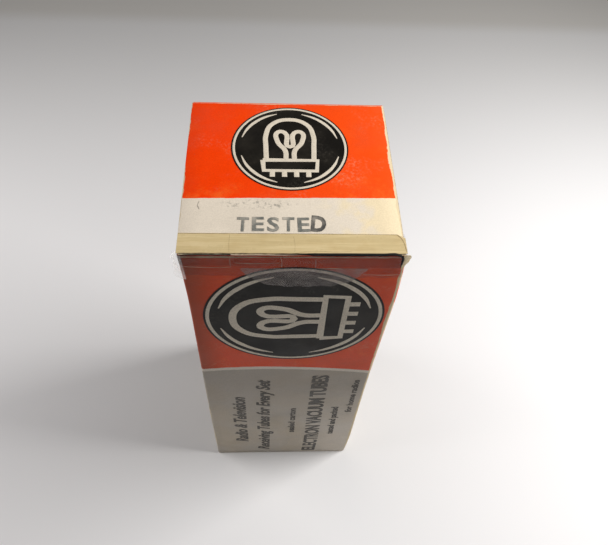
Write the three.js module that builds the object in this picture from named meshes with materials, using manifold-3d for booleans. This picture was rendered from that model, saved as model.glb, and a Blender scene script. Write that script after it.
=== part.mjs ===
// A boxed radio tube: a tuck-end paperboard carton, a corrugated liner inside it, and a full-wave
// rectifier tube with an octal base standing in the liner. Millimetres, +Z up, the carton's front
// faces -Y, and the origin is the middle of the carton's underside.
import * as THREE from "three";
import { mergeVertices } from "three/addons/utils/BufferGeometryUtils.js";
import Module from "manifold-3d";

const wasm = await Module();
wasm.setup();

// Carton: outside size and board
const CARTON_WIDTH = 51;
const CARTON_DEPTH = 50;
const CARTON_HEIGHT = 137;
const BOARD = 0.5;
const CREASE_GAP = 0.1; // between a panel's edge and the flap folded from it
const CORNER_RADIUS = 0.8;
const SEAM_FLAP_LENGTH = 12;
const SEAM_FLAP_CUTBACK = 14;
const GLUE_GAP = 0.1;
const FREE_EDGE_DROP = 0.15; // the front panel's free top edge lies this far below the lid's top

// Flaps
const LID_SIDE_GAP = 0.4;
const LID_FREE_GAP = 0.35; // between the lid's free crease and the panel it tucks behind
const TOP_TUCK_LENGTH = 12;
const BOTTOM_TUCK_LENGTH = 8;
const TUCK_LEAN = 9; // degrees that a tuck flap leans into the carton
const TUCK_SIDE_GAP = 2;
const TUCK_CORNER_RADIUS = 5;
const DUST_LENGTH = 19;
const DUST_START = 1; // from the lid's hinge edge to the start of the 45 degree cut
const DUST_END = 2.4; // from the other edge of the side panel
const FLAP_STACK_GAP = 0.2;

// Sealing tape, cut along the front top edge
const TAPE = 0.12;
const TAPE_LIFT = 0.02;
const TAPE_ON_LID = 5.3;
const TAPE_ON_FRONT = 9.3;
const TAPE_ON_SIDES = 7;
const TAPE_SIDE_TOP_GAP = 1.6;

// Corrugated liner
const LINER_HALF_WIDTH = 24.4;
const LINER_HALF_DEPTH = 22;
const LINER_BOTTOM = 1.6;
const LINER_TOP = 118;
const FACING = 0.4;
const FLUTE_SHEET = 0.3;
const FLUTE_HEIGHT = 1.9;
const FLUTE_GAP = 0.12;
const FLUTE_WAVES = 28;
const FLUTE_STEPS = 8;
const LINER_CORNER = 3;

// Tube, measured up from the tip of its locating spigot
const TUBE_REST = 1.5; // height of the spigot's tip above the carton's underside
const SPIGOT_RADIUS = 3.95;
const SPIGOT_LENGTH = 13.5;
const SPIGOT_BORE = 2.9;
const KEY_WIDTH = 1.4;
const KEY_REACH = 5.2;
const PIN_CIRCLE = 8.73;
const PIN_RADIUS = 1.18;
const PIN_LENGTH = 11.1;
const PIN_HOLE_GAP = 0.15;
const PIN_NUMBERS = [1, 2, 4, 6, 8];
const SHELL_RADIUS = 16.6;
const SHELL_BORE = 15.4;
const SHELL_HEIGHT = 23;
const BASE_FLOOR = 2.5;
const BULB_RADIUS = 19;
const NECK_RADIUS = 14.2;
const GLASS = 1;
const NECK_START = 27;
const SHOULDER_TOP = 46;
const DOME_START = 102;
const TUBE_LENGTH = 119;
const ROUND = 36; // sides of the large round pieces

// Electrodes inside the bulb
const PLATE_OFFSET = 6.8; // each plate's middle, either side of the tube's axis
const PLATE_THICK = 6.4;
const PLATE_WIDE = 17;
const PLATE_SHEET = 0.4;
const PLATE_BOTTOM = 57;
const PLATE_TOP = 95;
const ROD_OFFSET = 10.8;
const ROD_RADIUS = 0.75;
const ROD_CHANNEL = 1.35;
const FIN_REACH = 4;
const FIN_OFFSET = 5;
const MICA = 0.4;
const LOWER_MICA = 54;
const UPPER_MICA = 98;
const MICA_RADIUS = 17.4;
const MICA_TEETH = 28;
const HOLE_GAP = 0.25;
const PRESS_BOTTOM = 37;
const PRESS_TOP = 45;
const PRESS_WIDTH = 19;
const PRESS_THICK = 5.5;
const STEM_RADIUS = 8;
const STEM_BORE = 6.8;
const LEAD_RADIUS = 0.4;
const LEAD_PLACES = [-6, -2.9, 2.9, 6]; // where the leads cross the press
const FILAMENT = 0.45;
const FILAMENT_SPREAD = 4.2;
const GETTER_HEIGHT = 107;
const GETTER_RADIUS = 4.2;

const degrees = THREE.MathUtils.degToRad;
const HALF_WIDTH = CARTON_WIDTH / 2;
const HALF_DEPTH = CARTON_DEPTH / 2;

// Materials
function finish(color, roughness, metalness) {
  return new THREE.MeshStandardMaterial({ color, roughness, metalness });
}
const printedBoard = finish(0xf2480f, 0.55, 0);
const agedTape = finish(0xd8c088, 0.25, 0);
const kraft = finish(0xb08a5c, 0.9, 0);
const clearGlass = finish(0xdfe8e4, 0.05, 0);
const brownPhenolic = finish(0x2a1710, 0.3, 0);
const nickel = finish(0xb5b2a8, 0.3, 1);
const carbonised = finish(0x2b2c2e, 0.75, 0.5);
const mica = finish(0xd9cfb4, 0.25, 0);
const oxideCoat = finish(0xe9e6dd, 0.8, 0);
const cement = finish(0x8d7a5e, 0.9, 0);

// Solids: three.js geometry to manifold-3d and back
function solidOf(geometry) {
  const bare = geometry.index ? geometry.toNonIndexed() : geometry.clone();
  bare.deleteAttribute("normal");
  bare.deleteAttribute("uv");
  const merged = mergeVertices(bare, 1e-4);
  return new wasm.Manifold(
    new wasm.Mesh({
      numProp: 3,
      vertProperties: merged.attributes.position.array,
      triVerts: new Uint32Array(merged.index.array),
    }),
  );
}

function geometryOf(solid) {
  const { vertProperties, triVerts } = solid.getMesh();
  const geometry = new THREE.BufferGeometry();
  geometry.setAttribute("position", new THREE.BufferAttribute(new Float32Array(vertProperties), 3));
  geometry.setIndex(new THREE.BufferAttribute(new Uint32Array(triVerts), 1));
  geometry.computeVertexNormals();
  return geometry;
}

// A block from its low corner to its high corner
function block([x0, y0, z0], [x1, y1, z1]) {
  const box = new THREE.BoxGeometry(x1 - x0, y1 - y0, z1 - z0);
  return box.translate((x0 + x1) / 2, (y0 + y1) / 2, (z0 + z1) / 2);
}

// An upright cylinder standing at (x, y), from bottom to top
function post(radius, x, y, bottom, top, sides = 12) {
  const cylinder = new THREE.CylinderGeometry(radius, radius, top - bottom, sides);
  return cylinder.rotateX(Math.PI / 2).translate(x, y, (bottom + top) / 2);
}

// A flat outline in XY, raised from bottom to top
function raise(shape, bottom, top, curveSegments = 6) {
  const options = { depth: top - bottom, bevelEnabled: false, curveSegments };
  return new THREE.ExtrudeGeometry(shape, options).translate(0, 0, bottom);
}

// A profile of [radius, height] pairs turned about the Z axis
function turn(profile, sides = ROUND) {
  const points = profile.map(([radius, height]) => new THREE.Vector2(radius, height));
  return new THREE.LatheGeometry(points, sides).rotateX(Math.PI / 2);
}

function outline(points) {
  return new THREE.Shape(points.map(([x, y]) => new THREE.Vector2(x, y)));
}

// A round wire along a smooth curve through the points
function wire(points, radius, steps, sides = 8) {
  const path = new THREE.CatmullRomCurve3(points.map((p) => new THREE.Vector3(...p)));
  const section = new THREE.Shape();
  section.absarc(0, 0, radius, 0, 2 * Math.PI);
  return new THREE.ExtrudeGeometry(section, {
    steps,
    curveSegments: sides,
    bevelEnabled: false,
    extrudePath: path,
  });
}

function named(name, geometry, material) {
  const mesh = new THREE.Mesh(geometry, material);
  mesh.name = name;
  return mesh;
}

// Points of a quarter circle about (cx, cy), from one angle to another in degrees
function arc(cx, cy, radius, from, to, steps = 3) {
  const points = [];
  for (let i = 0; i <= steps; i++) {
    const angle = degrees(from + ((to - from) * i) / steps);
    points.push([cx + radius * Math.cos(angle), cy + radius * Math.sin(angle)]);
  }
  return points;
}

// ---- Carton ----

// The sleeve is one strip of board folded round four corners. Its last fold is the seam flap,
// glued inside the back panel.
function sleeve() {
  const r = CORNER_RADIUS;
  const right = HALF_WIDTH;
  const back = HALF_DEPTH;
  const seamOuter = back - BOARD - GLUE_GAP;
  const seamEnd = -right + SEAM_FLAP_LENGTH;
  const ring = outline([
    [-right, back],
    [-right, back - BOARD],
    [right - BOARD, back - BOARD],
    [right - BOARD, -back + BOARD],
    [-right + BOARD, -back + BOARD],
    [-right + BOARD, seamOuter - BOARD],
    [seamEnd, seamOuter - BOARD],
    [seamEnd, seamOuter],
    ...arc(-right + r, seamOuter - r, r, 90, 180),
    ...arc(-right + r, -back + r, r, 180, 270),
    ...arc(right - r, -back + r, r, 270, 360),
    ...arc(right - r, back - r, r, 0, 90),
  ]);
  let body = solidOf(raise(ring, 0, CARTON_HEIGHT - FREE_EDGE_DROP));
  const past = 1;
  const wall = BOARD + GLUE_GAP / 2;
  const lidCrease = BOARD + CREASE_GAP;
  const dustCrease = 2 * BOARD + FLAP_STACK_GAP + CREASE_GAP;
  const high = CARTON_HEIGHT + past;
  const sideFront = -back + BOARD;
  const sideBack = back - BOARD;
  for (const side of [-1, 1]) {
    const near = side * (right - wall);
    const far = side * (right + past);
    const [x0, x1] = [Math.min(near, far), Math.max(near, far)];
    body = body.subtract(solidOf(block([x0, sideFront, CARTON_HEIGHT - dustCrease], [x1, sideBack, high])));
    body = body.subtract(solidOf(block([x0, sideFront, -past], [x1, sideBack, dustCrease])));
  }
  const lidLine = CARTON_HEIGHT - lidCrease;
  body = body.subtract(solidOf(block([-right - past, back - wall, lidLine], [right + past, back + past, high])));
  body = body.subtract(solidOf(block([-right - past, -back - past, -past], [right + past, -back + wall, lidCrease])));
  const seamCut = [-right + BOARD + GLUE_GAP / 2, seamOuter - BOARD - past];
  const seamFar = [seamEnd + past, seamOuter + GLUE_GAP / 2];
  const seamTop = CARTON_HEIGHT - SEAM_FLAP_CUTBACK;
  body = body.subtract(solidOf(block([...seamCut, seamTop], [...seamFar, high])));
  body = body.subtract(solidOf(block([...seamCut, -past], [...seamFar, SEAM_FLAP_CUTBACK])));
  return geometryOf(body);
}

// A lid panel from the hinge edge at y = 0 towards +y, its outer face at z = 0, the board below it
const LID_LENGTH = CARTON_DEPTH - BOARD - LID_FREE_GAP;
function lidPanel() {
  const half = HALF_WIDTH - LID_SIDE_GAP;
  const panel = outline([
    [-half, 0],
    [half, 0],
    [half, LID_LENGTH],
    [-half, LID_LENGTH],
  ]);
  return raise(panel, -BOARD, 0);
}

// A tuck flap hanging from its crease at the origin, its outer face at y = 0, the board behind it
function tuckFlap(length) {
  const half = HALF_WIDTH - LID_SIDE_GAP - TUCK_SIDE_GAP;
  const top = -(BOARD + FLAP_STACK_GAP);
  const r = TUCK_CORNER_RADIUS;
  const flap = outline([
    [-half, top],
    ...arc(-half + r, -length + r, r, 180, 270, 5),
    ...arc(half - r, -length + r, r, 270, 360, 5),
    [half, top],
  ]);
  return raise(flap, 0, BOARD).rotateX(Math.PI / 2);
}

// A dust flap from its crease at x = 0 towards +x. y runs from the lid's hinge edge, where the flap
// is cut back at 45 degrees so that it can rise beside the opening lid.
function dustFlap() {
  const far = CARTON_DEPTH - DUST_END;
  const flap = outline([
    [0, DUST_START],
    [DUST_LENGTH - 2, DUST_LENGTH - 2 + DUST_START],
    [DUST_LENGTH, DUST_LENGTH + DUST_START + 2],
    ...arc(DUST_LENGTH - 4, far - 5, 4, 0, 80, 4),
    [0, far],
  ]);
  return raise(flap, -BOARD, 0);
}

// One closure: a lid hinged on one edge with its tuck flap, and a dust flap on each side.
// The group is made face up with its hinge at the front: the underside is this group turned over,
// and the top is this group turned round, so that its hinge is at the back.
function closure(prefix, tuckLength, turnedRound) {
  const group = new THREE.Group();
  const panel = named(`${prefix}_lid`, lidPanel(), printedBoard);
  const tuck = named(`${prefix}_tuck_flap`, tuckFlap(tuckLength), printedBoard);
  tuck.position.y = LID_LENGTH;
  tuck.rotation.x = -degrees(TUCK_LEAN);
  group.add(panel, tuck);
  const dustDepth = -(BOARD + FLAP_STACK_GAP);
  for (const side of [-1, 1]) {
    const geometry = dustFlap();
    if (side > 0) mirrorX(geometry);
    const label = side < 0 !== turnedRound ? "left" : "right";
    const flap = named(`${prefix}_dust_flap_${label}`, geometry, printedBoard);
    flap.position.set(side * HALF_WIDTH, 0, dustDepth);
    group.add(flap);
  }
  return group;
}

// Mirrors a geometry in x and turns its faces back outwards
function mirrorX(geometry) {
  geometry.scale(-1, 1, 1);
  const position = geometry.getAttribute("position");
  for (let i = 0; i < position.count; i += 3) {
    const a = new THREE.Vector3().fromBufferAttribute(position, i + 1);
    const b = new THREE.Vector3().fromBufferAttribute(position, i + 2);
    position.setXYZ(i + 1, b.x, b.y, b.z);
    position.setXYZ(i + 2, a.x, a.y, a.z);
  }
}

// The tape's upper half lies on the lid and reaches over the front panel's top edge
function tapeOnLid() {
  const half = HALF_WIDTH;
  const front = -HALF_DEPTH - TAPE - TAPE_LIFT;
  const low = CARTON_HEIGHT + TAPE_LIFT;
  return block([-half, front, low], [half, -HALF_DEPTH + TAPE_ON_LID, low + TAPE]);
}

// The tape's lower half lies on the front panel and turns both corners onto the sides
function tapeOnFront() {
  const inner = CORNER_RADIUS + TAPE_LIFT;
  const outer = inner + TAPE;
  const cornerX = HALF_WIDTH - CORNER_RADIUS;
  const cornerY = -HALF_DEPTH + CORNER_RADIUS;
  const sideEnd = -HALF_DEPTH + TAPE_ON_SIDES;
  const strip = outline([
    [-cornerX - inner, sideEnd],
    [-cornerX - outer, sideEnd],
    ...arc(-cornerX, cornerY, outer, 180, 270),
    ...arc(cornerX, cornerY, outer, 270, 360),
    [cornerX + outer, sideEnd],
    [cornerX + inner, sideEnd],
    ...arc(cornerX, cornerY, inner, 360, 270),
    ...arc(-cornerX, cornerY, inner, 270, 180),
  ]);
  const bottom = CARTON_HEIGHT - TAPE_ON_FRONT;
  const top = CARTON_HEIGHT - FREE_EDGE_DROP;
  const sideTop = CARTON_HEIGHT - TAPE_SIDE_TOP_GAP;
  let tape = solidOf(raise(strip, bottom, top));
  for (const side of [-1, 1]) {
    const x0 = side < 0 ? -HALF_WIDTH - 2 : HALF_WIDTH - BOARD;
    const cut = block([x0, -HALF_DEPTH + BOARD, sideTop], [x0 + 2 + BOARD, sideEnd + 1, top + 1]);
    tape = tape.subtract(solidOf(cut));
  }
  return geometryOf(tape);
}

// ---- Corrugated liner ----

// A rounded rectangle as a list of [x, y], anticlockwise, with its corners as arcs
function roundedRectangle(halfX, halfY, radius, steps) {
  return [
    ...arc(halfX - radius, halfY - radius, radius, 0, 90, steps),
    ...arc(-halfX + radius, halfY - radius, radius, 90, 180, steps),
    ...arc(-halfX + radius, -halfY + radius, radius, 180, 270, steps),
    ...arc(halfX - radius, -halfY + radius, radius, 270, 360, steps),
  ];
}

function ringShape(outer, inner) {
  const shape = outline(outer);
  shape.holes.push(new THREE.Path(inner.map(([x, y]) => new THREE.Vector2(x, y))));
  return shape;
}

function linerFacing() {
  const outer = roundedRectangle(LINER_HALF_WIDTH, LINER_HALF_DEPTH, LINER_CORNER, 4);
  const inner = roundedRectangle(
    LINER_HALF_WIDTH - FACING,
    LINER_HALF_DEPTH - FACING,
    LINER_CORNER - FACING,
    4,
  );
  return raise(ringShape(outer, inner), LINER_BOTTOM, LINER_TOP);
}

// The fluted sheet runs round inside the facing as one wave with upright flutes
function linerFluting() {
  const inset = FACING + FLUTE_GAP + FLUTE_HEIGHT / 2;
  const halfX = LINER_HALF_WIDTH - inset;
  const halfY = LINER_HALF_DEPTH - inset;
  const middle = roundedRectangle(halfX, halfY, LINER_CORNER - FACING, 6);
  const path = new THREE.CurvePath();
  middle.forEach(([x, y], i) => {
    const [nextX, nextY] = middle[(i + 1) % middle.length];
    if (Math.hypot(nextX - x, nextY - y) > 1e-6)
      path.add(new THREE.LineCurve(new THREE.Vector2(x, y), new THREE.Vector2(nextX, nextY)));
  });
  const swing = (FLUTE_HEIGHT - FLUTE_SHEET) / 2;
  const count = FLUTE_WAVES * FLUTE_STEPS;
  const outer = [];
  const inner = [];
  for (let i = 0; i < count; i++) {
    const share = i / count;
    const point = path.getPointAt(share);
    const ahead = path.getPointAt((share + 0.002) % 1);
    const behind = path.getPointAt((share + 0.998) % 1);
    const along = ahead.clone().sub(behind).normalize();
    const outward = new THREE.Vector2(along.y, -along.x);
    const wave = swing * Math.cos((2 * Math.PI * i) / FLUTE_STEPS);
    const at = (offset) => [point.x + outward.x * offset, point.y + outward.y * offset];
    outer.push(at(wave + FLUTE_SHEET / 2));
    inner.push(at(wave - FLUTE_SHEET / 2));
  }
  return raise(ringShape(outer, inner), LINER_BOTTOM, LINER_TOP - 0.6);
}

// ---- Tube ----

// Octal pins are numbered from the key, which faces -Y, anticlockwise seen from above
function pinPlace(number) {
  const angle = degrees(22.5 + 45 * (number - 1));
  return [PIN_CIRCLE * Math.sin(angle), -PIN_CIRCLE * Math.cos(angle)];
}

function octalBase() {
  const floorTop = SPIGOT_LENGTH + BASE_FLOOR;
  const shellTop = SPIGOT_LENGTH + SHELL_HEIGHT;
  let base = solidOf(
    turn([
      [0, 0],
      [SPIGOT_RADIUS - 0.8, 0],
      [SPIGOT_RADIUS, 0.8],
      [SPIGOT_RADIUS, SPIGOT_LENGTH],
      [SHELL_RADIUS - 1.2, SPIGOT_LENGTH],
      [SHELL_RADIUS - 0.6, SPIGOT_LENGTH + 0.6],
      [SHELL_RADIUS - 0.6, SPIGOT_LENGTH + 4],
      [SHELL_RADIUS, SPIGOT_LENGTH + 4.6],
      [SHELL_RADIUS, shellTop - 0.4],
      [SHELL_RADIUS - 0.4, shellTop],
      [SHELL_BORE, shellTop],
      [SHELL_BORE, floorTop],
      [SPIGOT_BORE, floorTop],
      [SPIGOT_BORE, 3],
      [0, 3],
    ]),
  );
  const key = block([-KEY_WIDTH / 2, -KEY_REACH, 1], [KEY_WIDTH / 2, -SPIGOT_RADIUS + 0.5, SPIGOT_LENGTH + 0.5]);
  base = base.add(solidOf(key));
  for (const number of PIN_NUMBERS) {
    const [x, y] = pinPlace(number);
    const hole = post(PIN_RADIUS + PIN_HOLE_GAP, x, y, SPIGOT_LENGTH - 1, floorTop + 1);
    base = base.subtract(solidOf(hole));
  }
  return geometryOf(base);
}

// A pin is a hollow rivet with a rounded, soldered tip and a bore that takes its lead
function basePin(number) {
  const [x, y] = pinPlace(number);
  const bottom = SPIGOT_LENGTH - PIN_LENGTH;
  const top = SPIGOT_LENGTH + BASE_FLOOR + 0.6;
  const bore = LEAD_RADIUS + HOLE_GAP;
  const pin = turn(
    [
      [0, bottom],
      [PIN_RADIUS * 0.5, bottom + 0.15],
      [PIN_RADIUS * 0.9, bottom + 0.7],
      [PIN_RADIUS, bottom + 1.3],
      [PIN_RADIUS, top],
      [bore, top],
      [bore, SPIGOT_LENGTH - 1],
      [0, SPIGOT_LENGTH - 1],
    ],
    12,
  );
  return pin.translate(x, y, 0);
}

// The bulb's wall, outside then inside, open at the neck where the stem is sealed in
function glassBulb() {
  const domeHeight = TUBE_LENGTH - DOME_START;
  const dome = (radius, height, from, to) => {
    const points = [];
    const steps = 9;
    for (let i = 0; i <= steps; i++) {
      const angle = degrees(from + ((to - from) * i) / steps);
      points.push([Math.max(0, radius * Math.cos(angle)), DOME_START + height * Math.sin(angle)]);
    }
    return points;
  };
  const wall = (inset) => [
    [NECK_RADIUS - inset, NECK_START],
    [NECK_RADIUS - inset, SPIGOT_LENGTH + SHELL_HEIGHT + 0.5],
    [NECK_RADIUS + 1.6 - inset, SHOULDER_TOP - 6.5],
    [BULB_RADIUS - 0.9 - inset, SHOULDER_TOP - 2.5],
    [BULB_RADIUS - inset, SHOULDER_TOP + 1.5],
  ];
  const outside = [...wall(0), ...dome(BULB_RADIUS, domeHeight, 0, 90)];
  const inside = [...dome(BULB_RADIUS - GLASS, domeHeight - GLASS, 90, 0), ...wall(GLASS).reverse()];
  return turn([...outside, ...inside, outside[0]]);
}

// The stem is a flared glass tube, flattened at its top into the press that the leads run through
function glassStem() {
  const rim = NECK_RADIUS - GLASS - 0.3;
  const flare = turn([
    [rim - 1, NECK_START - 0.2],
    [rim, NECK_START + 0.6],
    [STEM_RADIUS + 2, NECK_START + 2.6],
    [STEM_RADIUS, NECK_START + 6],
    [STEM_RADIUS, PRESS_BOTTOM + 1.5],
    [0, PRESS_BOTTOM + 1.5],
    [0, PRESS_BOTTOM],
    [STEM_BORE - 0.6, PRESS_BOTTOM - 0.8],
    [STEM_BORE, PRESS_BOTTOM - 2],
    [STEM_BORE, NECK_START + 5],
    [STEM_RADIUS + 0.6, NECK_START + 1.6],
    [rim - 1, NECK_START - 0.2],
  ]);
  const half = PRESS_WIDTH / 2;
  const waist = STEM_RADIUS - 0.4;
  const pressFace = outline([
    [-waist, PRESS_BOTTOM + 0.5],
    [waist, PRESS_BOTTOM + 0.5],
    [half, PRESS_BOTTOM + 4.5],
    [half, PRESS_TOP - 1],
    [half - 1, PRESS_TOP],
    [-half + 1, PRESS_TOP],
    [-half, PRESS_TOP - 1],
    [-half, PRESS_BOTTOM + 4.5],
  ]);
  const press = raise(pressFace, -PRESS_THICK / 2, PRESS_THICK / 2).rotateX(Math.PI / 2);
  let stem = solidOf(flare).add(solidOf(press));
  for (const x of LEAD_PLACES)
    stem = stem.subtract(solidOf(post(LEAD_RADIUS + HOLE_GAP, x, 0, PRESS_BOTTOM - 3, PRESS_TOP + 1, 8)));
  return geometryOf(stem);
}

// The sealed-off exhaust tube hangs from the stem down into the spigot
function exhaustTube() {
  const top = PRESS_BOTTOM - 0.4;
  return turn(
    [
      [0, 7],
      [1, 7.4],
      [1.7, 9],
      [2.1, 12],
      [2.1, top],
      [1.3, top],
      [1.3, 13],
      [0, 11],
    ],
    14,
  );
}

function cementRing() {
  const inner = NECK_RADIUS + 0.2;
  const outer = SHELL_BORE - 0.2;
  const top = SPIGOT_LENGTH + SHELL_HEIGHT - 0.3;
  return turn([
    [inner, NECK_START + 2],
    [outer, NECK_START + 2],
    [outer, top],
    [inner, top],
    [inner, NECK_START + 2],
  ]);
}

// A lead runs from its pin's bore, up inside the stem and through the press, to where it is welded
function leadWire(pin, pressX, end) {
  const [x, y] = pinPlace(pin);
  const side = Math.sign(y);
  const stemX = Math.sign(pressX) * Math.min(Math.abs(pressX), 4);
  const stemY = side * (Math.abs(pressX) > 4 ? 2.2 : 3.9);
  return wire(
    [
      [x, y, SPIGOT_LENGTH],
      [x, y, SPIGOT_LENGTH + 6],
      [(x + stemX) / 2, (y + stemY) / 2, NECK_START],
      [stemX, stemY, NECK_START + 5],
      [pressX, 0, PRESS_BOTTOM - 4],
      [pressX, 0, PRESS_BOTTOM - 1],
      [pressX, 0, PRESS_TOP + 0.8],
      [pressX, 0, PRESS_TOP + 1.8],
      end,
    ],
    LEAD_RADIUS,
    34,
    6,
  );
}

// A plate is a flat box of sheet, open at both ends, with a channel at each side for its rods and
// two cooling fins on its outer face
function plate(side) {
  const x = side * PLATE_OFFSET;
  const halfX = PLATE_THICK / 2;
  const halfY = PLATE_WIDE / 2;
  const section = roundedRectangle(halfX, halfY, 1.4, 3);
  const bore = roundedRectangle(halfX - PLATE_SHEET, halfY - PLATE_SHEET, 1.4 - PLATE_SHEET, 3);
  let solid = solidOf(raise(outline(section), PLATE_BOTTOM, PLATE_TOP).translate(x, 0, 0));
  for (const end of [-1, 1]) {
    const rodY = end * ROD_OFFSET;
    const near = end * (halfY - 1);
    const far = end * (ROD_OFFSET + 2.6);
    const wing = block(
      [x - PLATE_SHEET, Math.min(near, far), PLATE_BOTTOM],
      [x + PLATE_SHEET, Math.max(near, far), PLATE_TOP],
    );
    solid = solid.add(solidOf(wing)).add(solidOf(post(ROD_CHANNEL, x, rodY, PLATE_BOTTOM, PLATE_TOP)));
    const finY = end * FIN_OFFSET;
    const outer = side * (PLATE_OFFSET + halfX + FIN_REACH);
    const root = side * (PLATE_OFFSET + halfX - PLATE_SHEET);
    const fin = block(
      [Math.min(root, outer), finY - PLATE_SHEET / 2, PLATE_BOTTOM + 2],
      [Math.max(root, outer), finY + PLATE_SHEET / 2, PLATE_TOP - 2],
    );
    solid = solid.add(solidOf(fin));
  }
  solid = solid.subtract(solidOf(raise(outline(bore), PLATE_BOTTOM - 1, PLATE_TOP + 1).translate(x, 0, 0)));
  for (const end of [-1, 1]) {
    const channel = post(ROD_RADIUS + HOLE_GAP, x, end * ROD_OFFSET, PLATE_BOTTOM - 1, PLATE_TOP + 1);
    solid = solid.subtract(solidOf(channel));
  }
  return geometryOf(solid);
}

// A mica spacer is a toothed disc with two flats, cut for the rods and the filament legs
function micaSpacer(bottom, filamentGap) {
  const points = [];
  const steps = MICA_TEETH * 2;
  for (let i = 0; i < steps; i++) {
    const radius = i % 2 ? MICA_RADIUS - 0.7 : MICA_RADIUS;
    const angle = (2 * Math.PI * i) / steps;
    points.push([radius * Math.cos(angle), radius * Math.sin(angle)]);
  }
  let disc = solidOf(raise(outline(points), bottom, bottom + MICA));
  for (const side of [-1, 1]) {
    const x = side * PLATE_OFFSET;
    for (const end of [-1, 1]) {
      const hole = post(ROD_RADIUS + HOLE_GAP, x, end * ROD_OFFSET, bottom - 1, bottom + 2);
      disc = disc.subtract(solidOf(hole));
      const slot = post(1.1, x, end * filamentGap, bottom - 1, bottom + 2, 8);
      disc = disc.subtract(solidOf(slot));
    }
    const flatX = side * (MICA_RADIUS - 1.4);
    const flat = block([Math.min(flatX, flatX + side * 3), -4, bottom - 1], [Math.max(flatX, flatX + side * 3), 4, bottom + 2]);
    disc = disc.subtract(solidOf(flat));
  }
  return geometryOf(disc);
}

// A filament is a thin ribbon hung over its hook as a steep inverted V
function filament(side) {
  const x = side * PLATE_OFFSET;
  const low = LOWER_MICA - 2.5;
  const high = UPPER_MICA + 3;
  const bend = 1.1;
  const half = FILAMENT / 2;
  const leg = outline([
    [-FILAMENT_SPREAD - half, low],
    [-FILAMENT_SPREAD + half, low],
    [-bend + half, high - 0.6],
    [0, high - half],
    [bend - half, high - 0.6],
    [FILAMENT_SPREAD - half, low],
    [FILAMENT_SPREAD + half, low],
    [bend + half, high - 0.2],
    [0, high + half],
    [-bend - half, high - 0.2],
  ]);
  return raise(leg, -half, half).rotateX(Math.PI / 2).rotateZ(Math.PI / 2).translate(x, 0, 0);
}

// The strap under the lower mica joins the two filaments' rear legs in series
function filamentStrap() {
  const z = LOWER_MICA - 3.4;
  const reach = PLATE_OFFSET + 0.6;
  return block([-reach, FILAMENT_SPREAD - 0.7, z], [reach, FILAMENT_SPREAD + 0.7, z + 0.5]);
}

// A sprung wire arch on the upper mica that holds a filament's bend up
function filamentSpring(side) {
  const x = side * PLATE_OFFSET;
  const foot = UPPER_MICA + MICA + 0.2;
  const top = UPPER_MICA + 5.2;
  return wire(
    [
      [x - 0.2, -5, foot],
      [x, -4.2, foot + 2],
      [x, -2, top],
      [x, 0, top + 0.3],
      [x, 2, top],
      [x, 4.2, foot + 2],
      [x + 0.2, 5, foot],
    ],
    0.35,
    18,
    6,
  );
}

function plateRod(side, end) {
  const x = side * PLATE_OFFSET;
  return post(ROD_RADIUS, x, end * ROD_OFFSET, LOWER_MICA - 4, UPPER_MICA + 2.5);
}

// The getter is a ring-shaped trough facing the dome, on a wire from the upper mica
function getterRing() {
  const channel = 0.9;
  return turn(
    [
      [GETTER_RADIUS - channel, GETTER_HEIGHT],
      [GETTER_RADIUS + channel, GETTER_HEIGHT],
      [GETTER_RADIUS + channel, GETTER_HEIGHT + 1.1],
      [GETTER_RADIUS + channel - 0.3, GETTER_HEIGHT + 1.1],
      [GETTER_RADIUS + channel - 0.3, GETTER_HEIGHT + 0.3],
      [GETTER_RADIUS - channel + 0.3, GETTER_HEIGHT + 0.3],
      [GETTER_RADIUS - channel + 0.3, GETTER_HEIGHT + 1.1],
      [GETTER_RADIUS - channel, GETTER_HEIGHT + 1.1],
      [GETTER_RADIUS - channel, GETTER_HEIGHT],
    ],
    24,
  );
}

function getterSupport() {
  return wire(
    [
      [0, 9.5, UPPER_MICA + MICA + 0.3],
      [0, 9.3, UPPER_MICA + 3],
      [0, 7.5, GETTER_HEIGHT - 2],
      [0, 4.4, GETTER_HEIGHT - 0.7],
      [0, -4.4, GETTER_HEIGHT - 0.7],
    ],
    0.35,
    18,
    6,
  );
}

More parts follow.
